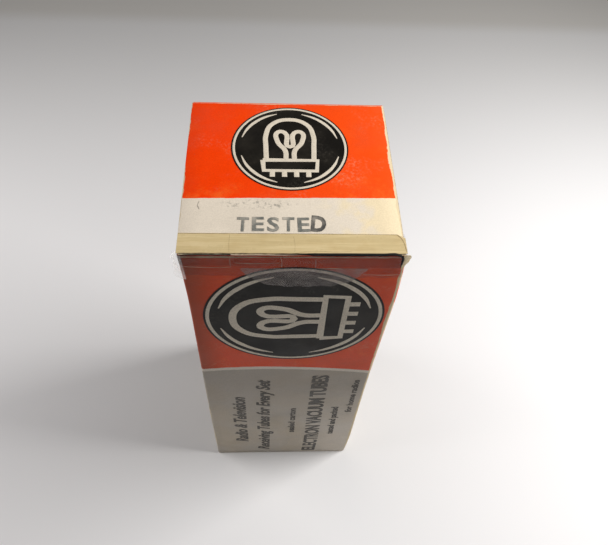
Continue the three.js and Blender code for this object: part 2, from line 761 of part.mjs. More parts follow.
function tube() {
  const group = new THREE.Group();
  group.position.z = TUBE_REST;
  group.add(
    named("octal_base", octalBase(), brownPhenolic),
    named("glass_bulb", glassBulb(), clearGlass),
    named("glass_stem", glassStem(), clearGlass),
    named("exhaust_tube", exhaustTube(), clearGlass),
    named("base_cement", cementRing(), cement),
    named("lower_mica", micaSpacer(LOWER_MICA, FILAMENT_SPREAD - 0.3), mica),
    named("upper_mica", micaSpacer(UPPER_MICA, 1.3), mica),
    named("filament_strap", filamentStrap(), nickel),
    named("getter_ring", getterRing(), nickel),
    named("getter_support", getterSupport(), nickel),
  );
  for (const number of PIN_NUMBERS) group.add(named(`base_pin_${number}`, basePin(number), nickel));
  for (const side of [-1, 1]) {
    const label = side < 0 ? "a" : "b";
    group.add(
      named(`plate_${label}`, plate(side), carbonised),
      named(`plate_rod_${label}_front`, plateRod(side, -1), nickel),
      named(`plate_rod_${label}_rear`, plateRod(side, 1), nickel),
      named(`filament_${label}`, filament(side), oxideCoat),
      named(`filament_spring_${label}`, filamentSpring(side), nickel),
    );
  }
  // Pins 2 and 8 feed the filaments' front legs; pins 4 and 6 feed the plates through their rods
  const [outerLeft, innerLeft, innerRight, outerRight] = LEAD_PLACES;
  const legEnd = LOWER_MICA - 3.2;
  const rodEnd = LOWER_MICA - 4.6;
  const leads = [
    [2, innerRight, [PLATE_OFFSET, -FILAMENT_SPREAD, legEnd]],
    [4, outerRight, [PLATE_OFFSET, ROD_OFFSET, rodEnd]],
    [6, outerLeft, [-PLATE_OFFSET, ROD_OFFSET, rodEnd]],
    [8, innerLeft, [-PLATE_OFFSET, -FILAMENT_SPREAD, legEnd]],
  ];
  for (const [pin, pressX, end] of leads)
    group.add(named(`lead_wire_${pin}`, leadWire(pin, pressX, end), nickel));
  return group;
}

// ---- Assembly ----

const assembly = new THREE.Group();

const topClosure = closure("top", TOP_TUCK_LENGTH, true);
topClosure.position.set(0, HALF_DEPTH, CARTON_HEIGHT);
topClosure.rotation.z = Math.PI;

const bottomClosure = closure("bottom", BOTTOM_TUCK_LENGTH, false);
bottomClosure.position.set(0, -HALF_DEPTH, 0);
bottomClosure.scale.z = -1;

assembly.add(
  named("carton_sleeve", sleeve(), printedBoard),
  topClosure,
  bottomClosure,
  named("tape_on_lid", tapeOnLid(), agedTape),
  named("tape_on_front", tapeOnFront(), agedTape),
  named("liner_facing", linerFacing(), kraft),
  named("liner_fluting", linerFluting(), kraft),
  tube(),
);

export default assembly;
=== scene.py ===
"""A boxed radio tube: a printed tuck-end carton sealed with old tape, with the tube and its liner inside."""

import math
import random
from contextlib import contextmanager
from itertools import pairwise

import bmesh
import bpy
from mathutils import Matrix, Vector


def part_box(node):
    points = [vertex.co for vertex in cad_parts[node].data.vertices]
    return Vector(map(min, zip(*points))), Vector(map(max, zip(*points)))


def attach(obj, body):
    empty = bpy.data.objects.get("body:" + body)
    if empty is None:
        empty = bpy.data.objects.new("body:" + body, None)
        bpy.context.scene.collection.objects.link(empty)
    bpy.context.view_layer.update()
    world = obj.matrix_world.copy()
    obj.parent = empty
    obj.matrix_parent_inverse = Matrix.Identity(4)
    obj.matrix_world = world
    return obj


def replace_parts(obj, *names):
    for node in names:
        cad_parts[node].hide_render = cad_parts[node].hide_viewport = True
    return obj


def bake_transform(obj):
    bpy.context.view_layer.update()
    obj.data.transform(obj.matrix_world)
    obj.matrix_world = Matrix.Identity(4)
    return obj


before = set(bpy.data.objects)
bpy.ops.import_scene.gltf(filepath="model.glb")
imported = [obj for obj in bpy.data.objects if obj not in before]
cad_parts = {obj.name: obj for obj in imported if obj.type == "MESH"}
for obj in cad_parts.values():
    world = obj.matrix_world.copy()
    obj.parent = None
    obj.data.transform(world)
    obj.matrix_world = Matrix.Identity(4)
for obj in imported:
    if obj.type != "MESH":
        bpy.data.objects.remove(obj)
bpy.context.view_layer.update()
random.seed(7)

MM = 0.001
PER_METRE = (1000, 1000, 1000)  # from metres to millimetres
PICTURE_WIDTH = 608

# ---- Sizes, in millimetres ----


def corners_of(node):
    """A CAD node's lowest and highest corners."""
    return [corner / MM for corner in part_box(node)]


HALF_W, HALF_D, FRONT_TOP = corners_of("carton_sleeve")[1]
lid_low, lid_high = corners_of("top_lid")
LID_HALF = lid_high.x
LID_FRONT = lid_low.y
HEIGHT = lid_high.z
BOARD = HEIGHT - lid_low.z
TUCK_HALF = corners_of("top_tuck_flap")[1].x
FOLD = BOARD + 0.1  # outer radius of a fold, and how far each panel stops from its corner
SIDE_CUT = HEIGHT - corners_of("top_dust_flap_left")[1].z + FOLD  # from a side panel to the carton's end
CORNER = 0.8  # radius of the upright corners
SWELL, SWELL_VARIES, LID_SWELL = 0.35, 0.12, 0.12  # how far the panels bulge
NEAR = 0.01  # how close counts as at the same place

PRINT_SPLIT = 78.0  # height of the line between the orange and the cream print
SPLIT_RISE = 0.9  # it is higher at the left of the front than at the right
SPLIT_BULGE = 2.9  # and higher in the middle of the front
SPLIT_BAND = 1.7  # clean strip of cream just under the orange
LID_SPLIT = -8.6  # the same line on the lid, at the middle
LID_SPLIT_RISE = 0.3  # and how much further back it runs at the right
LID_SHIFT = 0.45  # the lid was folded a little to the left
SIDE_ROUNDEL, SIDE_ROUNDEL_OVER, SIDE_ROUNDEL_UP = 23.1, 0.6, 109.3  # radius, place across, height
LID_ROUNDEL, LID_ROUNDEL_OVER, LID_ROUNDEL_BACK = 14.65, -0.1, 8.3
STAMP_LEFT, STAMP_STEP, STAMP_LINE = -11.2, 3.45, -16.4
PRINT_LIFT, LINE_LIFT = 0.05, 0.075  # how far the ink stands off the board
CAPITAL = 0.69  # height of a capital letter of size 1

TAPE_BACK = corners_of("tape_on_lid")[1].y
TAPE_BOTTOM = corners_of("tape_on_front")[0].z
TAPE_SIDE_END = corners_of("tape_on_front")[1].y

BULB, _, BULB_TOP = corners_of("glass_bulb")[1]
TUBE_REST = corners_of("octal_base")[0].z
TUBE_TOP = BULB_TOP - TUBE_REST
NECK, GLASS_WALL = 14.2, 1.0  # the bulb's radius at its neck, and its thickness
BULB_FOOT, SHOULDER, DOME = 27, 37, 102  # heights on the tube at which the bulb starts, widens and closes
GETTER_FOOT = 96  # height of the silver film's lower rim
SOLDERED = 3.45  # height up to which the pins are soldered
PIN_CIRCLE = 8.73  # radius

UP, RIGHT, BACK = Vector((0, 0, 1)), Vector((1, 0, 0)), Vector((0, 1, 0))

# ---- Modelling, as at the bench ----


def mm(*values):
    return Vector(values) * MM


def nothing_selected():
    for piece in bpy.context.selected_objects:
        piece.select_set(False)


def take(piece):
    nothing_selected()
    piece.select_set(True)
    bpy.context.view_layer.objects.active = piece


def called(name):
    piece = bpy.context.object
    piece.name = piece.data.name = name
    return piece


@contextmanager
def editing(piece, kind="VERT"):
    """Edit mode, with the whole piece selected."""
    take(piece)
    bpy.ops.object.mode_set(mode="EDIT")
    bpy.ops.mesh.select_mode(type=kind)
    bpy.ops.mesh.select_all(action="SELECT")
    yield
    bpy.ops.object.mode_set(mode="OBJECT")


def pick(kind, test):
    """Selects only the vertices, edges or faces whose middle, in millimetres, passes the test."""
    bpy.ops.mesh.select_mode(type=kind)
    bpy.ops.mesh.select_all(action="DESELECT")
    shape = bmesh.from_edit_mesh(bpy.context.edit_object.data)
    parts = {"VERT": shape.verts, "EDGE": shape.edges, "FACE": shape.faces}[kind]
    for part in parts:
        corners = [part] if kind == "VERT" else part.verts
        middle = sum((corner.co for corner in corners), Vector()) / len(corners)
        if test(middle / MM):
            part.select_set(True)
    bmesh.update_edit_mesh(bpy.context.edit_object.data)


def bent(piece, move):
    """Moves each vertex by what move says of its place, in millimetres."""
    for vertex in piece.data.vertices:
        vertex.co += mm(*move(*vertex.co / MM))
    return piece


def facing_front(piece):
    """Turns a skin over if it faces the back."""
    if sum((face.normal.y * face.area for face in piece.data.polygons), 0.0) > 0:
        piece.data.flip_normals()


def modify(piece, kind, **settings):
    take(piece)
    modifier = piece.modifiers.new(kind.lower(), kind)
    for key, value in settings.items():
        setattr(modifier, key, value)
    bpy.ops.object.modifier_apply(modifier=modifier.name)
    return piece


def box_between(name, low, high, cuts=0):
    """A cube stretched between two corners given in millimetres, its faces cut up finely."""
    low, high = mm(*low), mm(*high)
    nothing_selected()
    bpy.ops.mesh.primitive_cube_add(size=1, location=(low + high) / 2)
    piece = called(name)
    piece.scale = high - low
    bpy.ops.object.transform_apply(location=True, rotation=True, scale=True)
    if cuts:
        with editing(piece):
            bpy.ops.mesh.subdivide(number_cuts=cuts)
    return piece


def traced(name, points):
    """A chain of edges: one vertex at the first point, extruded on to each of the others."""
    places = [mm(*point) for point in points]
    nothing_selected()
    bpy.ops.mesh.primitive_plane_add(size=MM)
    piece = called(name)
    with editing(piece):
        bpy.ops.mesh.merge(type="CENTER")
        bpy.ops.transform.translate(value=places[0])
        for here, there in pairwise(places):
            bpy.ops.mesh.extrude_vertices_move(TRANSFORM_OT_translate={"value": there - here})
    return piece


def weld(piece):
    with editing(piece):
        bpy.ops.mesh.remove_doubles(threshold=0.0005 * MM)
        bpy.ops.mesh.normals_make_consistent(inside=False)
    return piece


def turned(name, profile, steps, middle=(0, 0)):
    """A profile of (radius, height) points spun into a round piece."""
    x, y = middle
    piece = traced(name, [(x + radius, y, height) for radius, height in profile])
    with editing(piece):
        bpy.ops.mesh.spin(steps=steps, angle=2 * math.pi, center=mm(x, y, 0), axis=(0, 0, 1))
    return weld(piece)


def swept(name, points, rise, rows):
    """A chain of edges extruded upwards by rise, in rows."""
    piece = traced(name, points)
    with editing(piece, "EDGE"):
        for _ in range(rows):
            step = {"value": mm(0, 0, rise / rows)}
            bpy.ops.mesh.extrude_edges_move(TRANSFORM_OT_translate=step)
    return piece


def wire(name, runs, radius, widths=None, sides=2, resolution=6, kind="BEZIER"):
    """A round wire through each run of points, made a mesh. Widths vary the radius from knot to knot."""
    curve = bpy.data.curves.new(name, "CURVE")
    curve.dimensions = "3D"
    curve.bevel_depth = radius * MM
    curve.bevel_resolution = sides
    curve.resolution_u = resolution
    curve.use_fill_caps = True
    for points in runs:
        spline = curve.splines.new(kind)
        knots = spline.bezier_points if kind == "BEZIER" else spline.points
        knots.add(len(points) - 1)
        for knot, point in zip(knots, points):
            knot.co = mm(*point) if kind == "BEZIER" else (*mm(*point), 1)
            if kind == "BEZIER":
                knot.handle_left_type = knot.handle_right_type = "AUTO"
        for knot, width in zip(knots, widths or []):
            knot.radius = width
    piece = bpy.data.objects.new(name, curve)
    bpy.context.scene.collection.objects.link(piece)
    take(piece)
    bpy.ops.object.convert(target="MESH")
    return called(name)


def copy_of(node, name):
    """A copy of a CAD node's mesh, with its loose triangles joined into clean faces."""
    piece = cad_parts[node].copy()
    piece.data = piece.data.copy()
    for key in list(piece.keys()):
        del piece[key]
    piece.parent = None
    bpy.context.scene.collection.objects.link(piece)
    piece.name = piece.data.name = name
    piece.data.materials.clear()
    weld(piece)
    with editing(piece):
        bpy.ops.mesh.dissolve_limited(angle_limit=math.radians(1))
    return piece


def duplicate(piece, name, matrix):
    """A copy with its own mesh, moved by a matrix in its mesh."""
    copied = piece.copy()
    copied.data = piece.data.copy()
    copied.name = copied.data.name = name
    bpy.context.scene.collection.objects.link(copied)
    copied.data.transform(matrix)
    return copied


def joined(name, *pieces):
    take(pieces[0])
    for piece in pieces:
        piece.select_set(True)
    bpy.ops.object.join()
    return called(name)


def soften(piece, width, segments=2):
    """Rounds the sharp edges."""
    return modify(piece, "BEVEL", width=width * MM, segments=segments, angle_limit=math.radians(40))


def thicken(piece, outer):
    """Turns a skin of printed faces into board, with a bare inner face and cut edges."""
    coat(piece, outer, BARE, EDGE)
    return modify(
        piece, "SOLIDIFY", thickness=BOARD * MM, offset=-1, material_offset=1, material_offset_rim=2
    )


def coat(piece, *materials):
    """Gives a piece its materials. Faces keep their material places."""
    places = [face.material_index for face in piece.data.polygons]
    piece.data.materials.clear()
    for material in materials:
        piece.data.materials.append(material)
    for face, place in zip(piece.data.polygons, places):
        face.material_index = place


def put(piece, slot, *materials, body=None, smooth=35):
    """Gives a finished piece its materials and its place on a body."""
    coat(piece, *materials)
    take(piece)
    bpy.ops.object.shade_smooth_by_angle(angle=math.radians(smooth))
    if body:
        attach(piece, body)
    return piece


# ---- Material building ----


def tone(red, green, blue):
    """A colour that shows on a screen as these numbers, 0 to 255, in linear light."""
    shown = (value / 255 for value in (red, green, blue))
    linear = (v / 12.92 if v <= 0.04045 else ((v + 0.055) / 1.055) ** 2.4 for v in shown)
    return (*linear, 1)


def arithmetic(operation):
    return lambda value, other=None: value.nodes.math(operation, value, other)


class Value:
    """A node's output. Arithmetic on it adds Math nodes."""

    def __init__(self, nodes, socket):
        self.nodes = nodes
        self.socket = socket

    __abs__ = arithmetic("ABSOLUTE")
    __add__ = arithmetic("ADD")
    __sub__ = arithmetic("SUBTRACT")
    __mul__ = arithmetic("MULTIPLY")
    __truediv__ = arithmetic("DIVIDE")
    __pow__ = arithmetic("POWER")
    __gt__ = arithmetic("GREATER_THAN")

    def __rsub__(self, other):
        return self.nodes.math("SUBTRACT", other, self)

    def between(self, low, high, to_low=0.0, to_high=1.0):
        """Carries low..high onto to_low..to_high, smoothly and clamped."""
        ends = {"From_Min": low, "From_Max": high, "To_Min": to_low, "To_Max": to_high}
        smooth = {"interpolation_type": "SMOOTHSTEP"}
        node = self.nodes.add("ShaderNodeMapRange", smooth, Value=self, **ends)
        return Value(self.nodes, node.outputs["Result"])


class Nodes:
    """Adds nodes to a tree and joins them. A value may be a number, a colour or another node's Value.
    A colour is three numbers, as it shows on a screen from 0 to 255, or four in linear light."""

    def __init__(self, tree):
        self.tree = tree
        self.place = None

    def feed(self, socket, value):
        if isinstance(value, Value):
            self.tree.links.new(value.socket, socket)
        elif socket.type == "RGBA" and len(value) == 3:
            socket.default_value = tone(*value)
        else:
            socket.default_value = value

    def add(self, kind, settings=None, **inputs):
        node = self.tree.nodes.new(kind)
        for key, value in (settings or {}).items():
            setattr(node, key, value)
        for key, value in inputs.items():
            self.feed(node.inputs[key.replace("_", " ")], value)
        return node

    def math(self, operation, *values, clamp=False):
        node = self.add("ShaderNodeMath", {"operation": operation, "use_clamp": clamp})
        for socket, value in zip(node.inputs, values):
            if value is not None:
                self.feed(socket, value)
        return Value(self, node.outputs[0])

    def mix(self, share, first, second, blend="MIX"):
        node = self.add("ShaderNodeMix", {"data_type": "RGBA", "blend_type": blend})
        for index, value in ((0, share), (6, first), (7, second)):
            self.feed(node.inputs[index], value)
        return Value(self, node.outputs[2])

    def shade(self, color, grey):
        return self.mix(1.0, color, grey, "MULTIPLY")

    def stretched(self, x, y, z):
        """The place with each axis multiplied, which squeezes a pattern along it."""
        node = self.add("ShaderNodeMapping", {"vector_type": "POINT"}, Vector=self.place, Scale=(x, y, z))
        return Value(self, node.outputs[0])

    def noise(self, scale, detail, roughness=0.5, stretch=None):
        place = self.stretched(*stretch) if stretch else self.place
        settings = {"Scale": scale, "Detail": detail, "Roughness": roughness}
        return Value(self, self.add("ShaderNodeTexNoise", Vector=place, **settings).outputs["Fac"])

    def axes(self):
        """The place's x, y and z in millimetres."""
        split = self.add("ShaderNodeSeparateXYZ", Vector=self.stretched(*PER_METRE))
        return [Value(self, output) for output in split.outputs]

    def use(self, tree, **inputs):
        """Places a node group, and gives what it puts out by name."""
        node = self.add("ShaderNodeGroup", {"node_tree": tree}, Place=self.place, **inputs)
        return {output.name: Value(self, output) for output in node.outputs}


class Finish(Nodes):
    """A material, with its one shader."""

    def __init__(self, name, roughness=0.5, metallic=0.0, **settings):
        self.material = bpy.data.materials.new(name)
        self.material.use_nodes = True
        super().__init__(self.material.node_tree)
        self.shader = self.tree.nodes["Principled BSDF"]
        self.give(Roughness=roughness, Metallic=metallic, **settings)
        self.place = Value(self, self.add("ShaderNodeTexCoord").outputs["Object"])

    def give(self, **inputs):
        for key, value in inputs.items():
            self.feed(self.shader.inputs[key.replace("_", " ")], value)

    def bump(self, height, depth, strength):
        """Height runs 0 to 1 over a depth in millimetres. This comes last, and gives the material."""
        node = self.add("ShaderNodeBump", Height=height, Strength=strength, Distance=depth * MM)
        self.give(Normal=Value(self, node.outputs["Normal"]))
        return self.material


def least(first, second):
    return first.nodes.math("MINIMUM", first, second)


def most(first, second):
    return first.nodes.math("MAXIMUM", first, second)


def group(name, build, outputs, **numbers):
    """A shader node group that takes a place in metres and named numbers."""
    tree = bpy.data.node_groups.new(name, "ShaderNodeTree")
    tree.interface.new_socket("Place", in_out="INPUT", socket_type="NodeSocketVector")
    for key, value in numbers.items():
        socket = tree.interface.new_socket(key, in_out="INPUT", socket_type="NodeSocketFloat")
        socket.default_value = value
    for key in outputs:
        tree.interface.new_socket(key, in_out="OUTPUT", socket_type="NodeSocketFloat")
    nodes = Nodes(tree)
    sockets = tree.nodes.new("NodeGroupInput").outputs
    entry = {key: Value(nodes, sockets[key]) for key in ("Place", *numbers)}
    nodes.place = entry["Place"]
    nodes.place = nodes.stretched(*PER_METRE)
    leave = tree.nodes.new("NodeGroupOutput")
    for key, value in build(nodes, entry).items():
        nodes.feed(leave.inputs[key], value)
    return tree


def build_fibres(nodes, _):
    fine = nodes.noise(1.6, 4, 0.6, (2.2, 2.2, 0.9))
    broad = nodes.noise(0.12, 3, 0.5)
    return {"Fine": fine, "Broad": broad, "Height": fine * 0.7 + broad * 0.6}


def build_scuffs(nodes, entry):
    """Rubbed patches and short scratches, as a mask."""
    rubbed = nodes.noise(0.09, 4, 0.6).between(0.5, 0.72) * nodes.noise(1.3, 5, 0.75).between(0.46, 0.66)
    streak = nodes.noise(1.1, 5, 0.8, (0.25, 1.6, 0.5))
    where = nodes.noise(0.14, 2, 0.5).between(0.55, 0.75)
    mask = most(rubbed, streak.between(0.64, 0.7) * where)
    return {"Mask": nodes.math("MULTIPLY", mask, entry["Amount"], clamp=True)}


def build_grime(nodes, entry):
    """Handling dirt in soft clouds with a few specks."""
    cloud = nodes.noise(0.05, 5, 0.65).between(0.42, 0.75)
    speck = nodes.noise(1.9, 2, 0.5).between(0.7, 0.76)
    return {"Mask": nodes.math("MULTIPLY", cloud + speck * 0.8, entry["Amount"], clamp=True)}


def build_wear(nodes, entry):
    """Print rubbed off along an edge: 1 at no distance from it, broken up further away."""
    local = nodes.noise(0.08, 2, 0.5).between(0.35, 0.7, 0.35, 1.5) * entry["Reach"]
    reach = nodes.math("MAXIMUM", nodes.noise(0.9, 5, 0.7) * local, 0.01)
    return {"Mask": (entry["Distance"] / reach).between(0.55, 1.0, 1.0, 0.0)}


FIBRES = group("Paper fibres", build_fibres, ["Fine", "Broad", "Height"])
SCUFFS = group("Scuffs", build_scuffs, ["Mask"], Amount=1.0)
GRIME = group("Handling dirt", build_grime, ["Mask"], Amount=0.3)
WEAR = group("Edge wear", build_wear, ["Mask"], Distance=1.0, Reach=1.2)

ORANGE = (250, 64, 0)
FADED_ORANGE = (255, 122, 46)
# A darker, greyer copy of the lid's orange for the walls: painted shade.
WALL_SHADE_ORANGE = (232, 78, 28)
# Painted shade for the left edge of the front.
FRONT_LEFT_SHADE_ORANGE = (178, 70, 30)
CREAM = (232, 220, 202)
# Lighter, yellower cream for the lid's right side: painted light, with some yellowing.
LIT_YELLOWED_CREAM = (240, 222, 186)
# Light cream: the print's clean band under the orange, and painted bounce light low on the front's right.
CREAM_BAND_AND_BOUNCE_LIGHT = (226, 215, 200)
# Darker copies of the cream and its aged tone for the walls: painted shade.
WALL_SHADE_CREAM = (190, 181, 168)
WALL_SHADE_CREAM_AGED = (196, 183, 163)
# Painted shade for the upper cream on the front.
FRONT_UPPER_SHADE_CREAM = (160, 150, 138)
FIBRE = (222, 204, 168)
DIRT = (112, 104, 90)
SMUDGE = (118, 116, 108)
PRINT_GLOSS = {"Specular_IOR_Level": 0.15}


def printed_coat(finish, color, edge_distance, dirt=0.28):
    """What every printed face shares: fibres, rubbing, dirt and worn edges over its colours."""
    fibres = finish.use(FIBRES)
    scuffs = finish.use(SCUFFS, Amount=0.5)["Mask"]
    dirty = finish.use(GRIME, Amount=dirt)["Mask"]
    worn = finish.use(WEAR, Distance=edge_distance, Reach=0.7)["Mask"]
    color = finish.shade(color, fibres["Fine"].between(0.3, 0.7, 0.93, 1.05))
    color = finish.mix(scuffs, color, finish.mix(0.45, color, FIBRE))
    color = finish.mix(dirty, color, finish.mix(0.6, color, DIRT))
    rough = fibres["Broad"].between(0.3, 0.7, 0.4, 0.52) + worn * 0.3
    finish.give(Base_Color=finish.mix(worn, color, FIBRE), Roughness=rough)
    return finish.bump(fibres["Height"] - worn * 0.8, 0.07, 0.5)


def wall_print():
    """Orange above, cream below, all the way round the carton, in darker copies of the lid's colours as
    painted shade, with more painted shade and some painted bounce light on the front.
    """
    finish = Finish("wall_print", **PRINT_GLOSS)
    x, y, z = finish.axes()
    front = y.between(-HALF_D + 1, 0, 1.0, 0.0)
    bulge = (1.0 - abs(x / HALF_W) ** 2.0) * SPLIT_BULGE * front
    wobble = finish.noise(500, 2).between(0.3, 0.7, -0.06, 0.06)
    level = z + wobble - (x * (-SPLIT_RISE / HALF_W) + bulge)
    mottle = finish.noise(160, 4, 0.6).between(0.52, 0.8, 0.0, 0.35)
    orange = finish.mix(mottle, WALL_SHADE_ORANGE, FADED_ORANGE)
    # Darker orange towards the left edge of the front: painted shade.
    orange = finish.mix(x.between(-HALF_W, -16, 1.0, 0.0) * front, orange, FRONT_LEFT_SHADE_ORANGE)
    cream = finish.mix(finish.noise(60, 3).between(0.35, 0.7), WALL_SHADE_CREAM, WALL_SHADE_CREAM_AGED)
    # Darker cream higher up the front, from 34 to 76 mm: painted shade, the front being lit from the floor
    # below.
    cream = finish.mix(z.between(34, 76, 0.0, 0.5) * front, cream, FRONT_UPPER_SHADE_CREAM)
    # Lighter cream low on the front's right: painted bounce light from the bright floor there.
    clean = x.between(0, 24, 0.0, 0.7) * z.between(20, 70, 1.0, 0.0)
    cream = finish.mix(clean * front, cream, CREAM_BAND_AND_BOUNCE_LIGHT)
    cream = finish.mix(level > PRINT_SPLIT - SPLIT_BAND, cream, CREAM_BAND_AND_BOUNCE_LIGHT)
    upright = most(HALF_W - abs(x), HALF_D - abs(y))
    ends = abs(least(z, HEIGHT - 1.0 - z))
    return printed_coat(finish, finish.mix(level > PRINT_SPLIT, cream, orange), least(upright, ends))


def lid_print():
    """The lid's orange panel, its cream strip and the smudges behind the rubber stamp."""
    finish = Finish("lid_print", **PRINT_GLOSS)
    x, y, _ = finish.axes()
    wobble = finish.noise(500, 2).between(0.3, 0.7, -0.05, 0.05)
    level = y + (wobble + x * (-LID_SPLIT_RISE / HALF_W))
    mottle = finish.noise(170, 5, 0.65).between(0.5, 0.75, 0.0, 0.45)
    near_split = y.between(LID_SPLIT, LID_SPLIT + 9, 1.0, 0.25)
    # Lighter orange towards the right, and cream turning lighter and yellower there: painted light, with some
    # yellowing in the cream.
    orange = finish.mix(mottle * near_split + x.between(-18, 22, 0.0, 0.2), ORANGE, FADED_ORANGE)
    painted_light_right = (x + finish.noise(220, 4).between(0.3, 0.7, -6.0, 6.0)).between(10, 22)
    cream = finish.mix(painted_light_right, CREAM, LIT_YELLOWED_CREAM)
    spread = ((x + 7.5) / 11.0) ** 2.0 + ((y + 10.6) / 1.9) ** 2.0
    smudge = spread.between(0.1, 1.0, 1.0, 0.0) * finish.noise(950, 5, 0.75).between(0.5, 0.64)
    cream = finish.mix(smudge * 0.6, cream, SMUDGE)
    sides = least((x + (LID_HALF + LID_SHIFT)) * 0.85, (LID_HALF - x) * 0.7)
    ends = (HALF_D - FOLD - abs(y)) * 1.2
    return printed_coat(finish, finish.mix(level > LID_SPLIT, cream, orange), least(sides, ends), 0.2)


def plain_print(name, color):
    """A flap printed in one colour."""
    finish = Finish(name, **PRINT_GLOSS)
    x, y, _ = finish.axes()
    return printed_coat(finish, color, least(HALF_W - abs(x), HALF_D - abs(y)))


def unprinted(name, roughness, light, dark, flecks, fleck_color, grain, relief):
    """Bare board or paper: clouds, flecks and fibres."""
    finish = Finish(name, roughness)
    fibres = finish.use(FIBRES)
    scale, low, amount = flecks
    color = finish.mix(fibres["Broad"].between(0.3, 0.7), light, dark)
    color = finish.mix(finish.noise(scale, 2).between(low, 0.72, 0.0, amount), color, fleck_color)
    finish.give(Base_Color=finish.shade(color, fibres["Fine"].between(0.3, 0.7, *grain)))
    return finish.bump(fibres["Height"], *relief)


def ink(name, color, worn_to, amount):
    """A printed ink, scuffed through to what is under it."""
    finish = Finish(name, Specular_IOR_Level=0.1)
    fibres = finish.use(FIBRES)
    scuffs = finish.use(SCUFFS, Amount=amount)["Mask"]
    dirty = finish.use(GRIME, Amount=0.25)["Mask"]
    base = finish.shade(color, fibres["Fine"].between(0.3, 0.7, 0.85, 1.1))
    base = finish.mix(scuffs, base, worn_to)
    finish.give(Base_Color=finish.mix(dirty, base, finish.mix(0.5, base, DIRT)))
    finish.give(Roughness=fibres["Broad"].between(0.3, 0.7, 0.34, 0.5))
    return finish.bump(fibres["Height"], 0.05, 0.4)


def stamp_ink(name, color, cover):
    """Rubber-stamp ink: uneven, with the board showing through."""
    finish = Finish(name, 0.7)
    press = finish.noise(700, 4, 0.7)
    thin = press.between(0.3, 0.62, 1.0 - cover, 0.0)
    rim = finish.noise(260, 2).between(0.4, 0.7, 0.0, 0.35)
    bare = finish.math("ADD", thin, rim, clamp=True)
    finish.give(Base_Color=finish.mix(bare, color, CREAM))
    return finish.bump(press, 0.02, 0.3)


def tape_film(name, lines, cover, clean, stained, pale, painted_glow=0.0):
    """Old cellophane tape: a brittle amber film with fine drawn lines and lifted, pale patches.
    Torn film may be given a faint white emission, which is painted light: it shines brighter than its lamps
    make it."""
    finish = Finish(name, 0.3, Coat_Weight=0.15, Coat_Roughness=0.2, Emission_Strength=painted_glow)
    drawn = finish.noise(1.0, 5, 0.65, lines)
    cloud = finish.noise(240, 4, 0.6)
    amber = finish.mix(cloud.between(0.4, 0.75), clean, stained)
    amber = finish.mix(drawn.between(0.5, 0.8, 0.0, pale), amber, (238, 222, 190))
    lifted = (drawn * 0.6 + cloud * 0.4).between(0.4, 0.65, cover, min(1.0, cover * 2))
    finish.give(Base_Color=amber, Alpha=lifted, Roughness=cloud.between(0.3, 0.7, 0.24, 0.42))
    return finish.bump(drawn * 0.6 + cloud, 0.1, 0.5)


def clear_glass(name, color):
    finish = Finish(name, 0.02, Transmission_Weight=1.0, IOR=1.47, Base_Color=color)
    finish.give(Roughness=finish.noise(130, 5, 0.7).between(0.5, 0.75, 0.015, 0.09))
    return finish.bump(finish.noise(90, 2, stretch=(1, 1, 0.35)), 0.25, 0.35)


def phenolic():
    """Dark moulded phenolic with faint flow marks and handling scratches."""
    finish = Finish("brown_phenolic", 0.3, Coat_Weight=0.25, Coat_Roughness=0.15)
    flow = finish.noise(300, 5, 0.6, (1, 1, 0.4))
    color = finish.mix(flow.between(0.35, 0.7), (38, 24, 19), (62, 38, 28))
    dusty = finish.use(GRIME, Amount=0.25)["Mask"]
    scratch = finish.noise(500, 4, 0.8, (1, 1, 12)).between(0.6, 0.72)
    finish.give(Base_Color=finish.mix(dusty, color, (120, 108, 96)), Roughness=scratch * 0.3 + 0.26)
    return finish.bump(flow, 0.03, 0.4)


def metal(name, color, tarnish, roughness, grain=(1, 1, 1)):
    finish = Finish(name, roughness, 1.0)
    lines = finish.noise(1400, 4, 0.6, grain)
    stained = finish.noise(420, 5, 0.65).between(0.45, 0.75, 0.0, 0.8)
    finish.give(Base_Color=finish.mix(stained, color, tarnish))
    finish.give(Roughness=(lines + stained).between(0.3, 1.4, roughness, roughness + 0.25))
    return finish.bump(lines, 0.02, 0.4)


def carbon_coat():
    """Carbonised plate metal: near black, dry and slightly speckled."""
    finish = Finish("carbonised_metal", 0.7, 0.35)
    speck = finish.noise(3200, 3, 0.6)
    cloud = finish.noise(190, 4, 0.6)
    color = finish.mix(cloud.between(0.35, 0.7), (46, 47, 49), (70, 70, 70))
    color = finish.mix(speck.between(0.55, 0.7, 0.0, 0.5), color, (104, 104, 102))
    finish.give(Base_Color=color, Roughness=cloud.between(0.3, 0.7, 0.55, 0.78))
    return finish.bump(speck, 0.03, 0.6)


def mica_sheet():
    finish = Finish("mica_sheet", 0.2, Coat_Weight=0.6, Coat_Roughness=0.1)
    layers = finish.noise(350, 6, 0.7)
    finish.give(Base_Color=finish.mix(layers.between(0.35, 0.7), (222, 214, 190), (186, 170, 132)))
    finish.give(Alpha=layers.between(0.3, 0.7, 0.6, 0.85))
    return finish.bump(layers, 0.05, 0.5)


def grainy(name, light, dark, grain=(2400, 5, 0.7), dark_from=0.7, relief=(0.08, 0.9)):
    """A dry, rough material of two mingled colours."""
    finish = Finish(name, 0.9)
    grains = finish.noise(*grain)
    finish.give(Base_Color=finish.mix(grains.between(0.35, dark_from), light, dark))
    return finish.bump(grains, *relief)


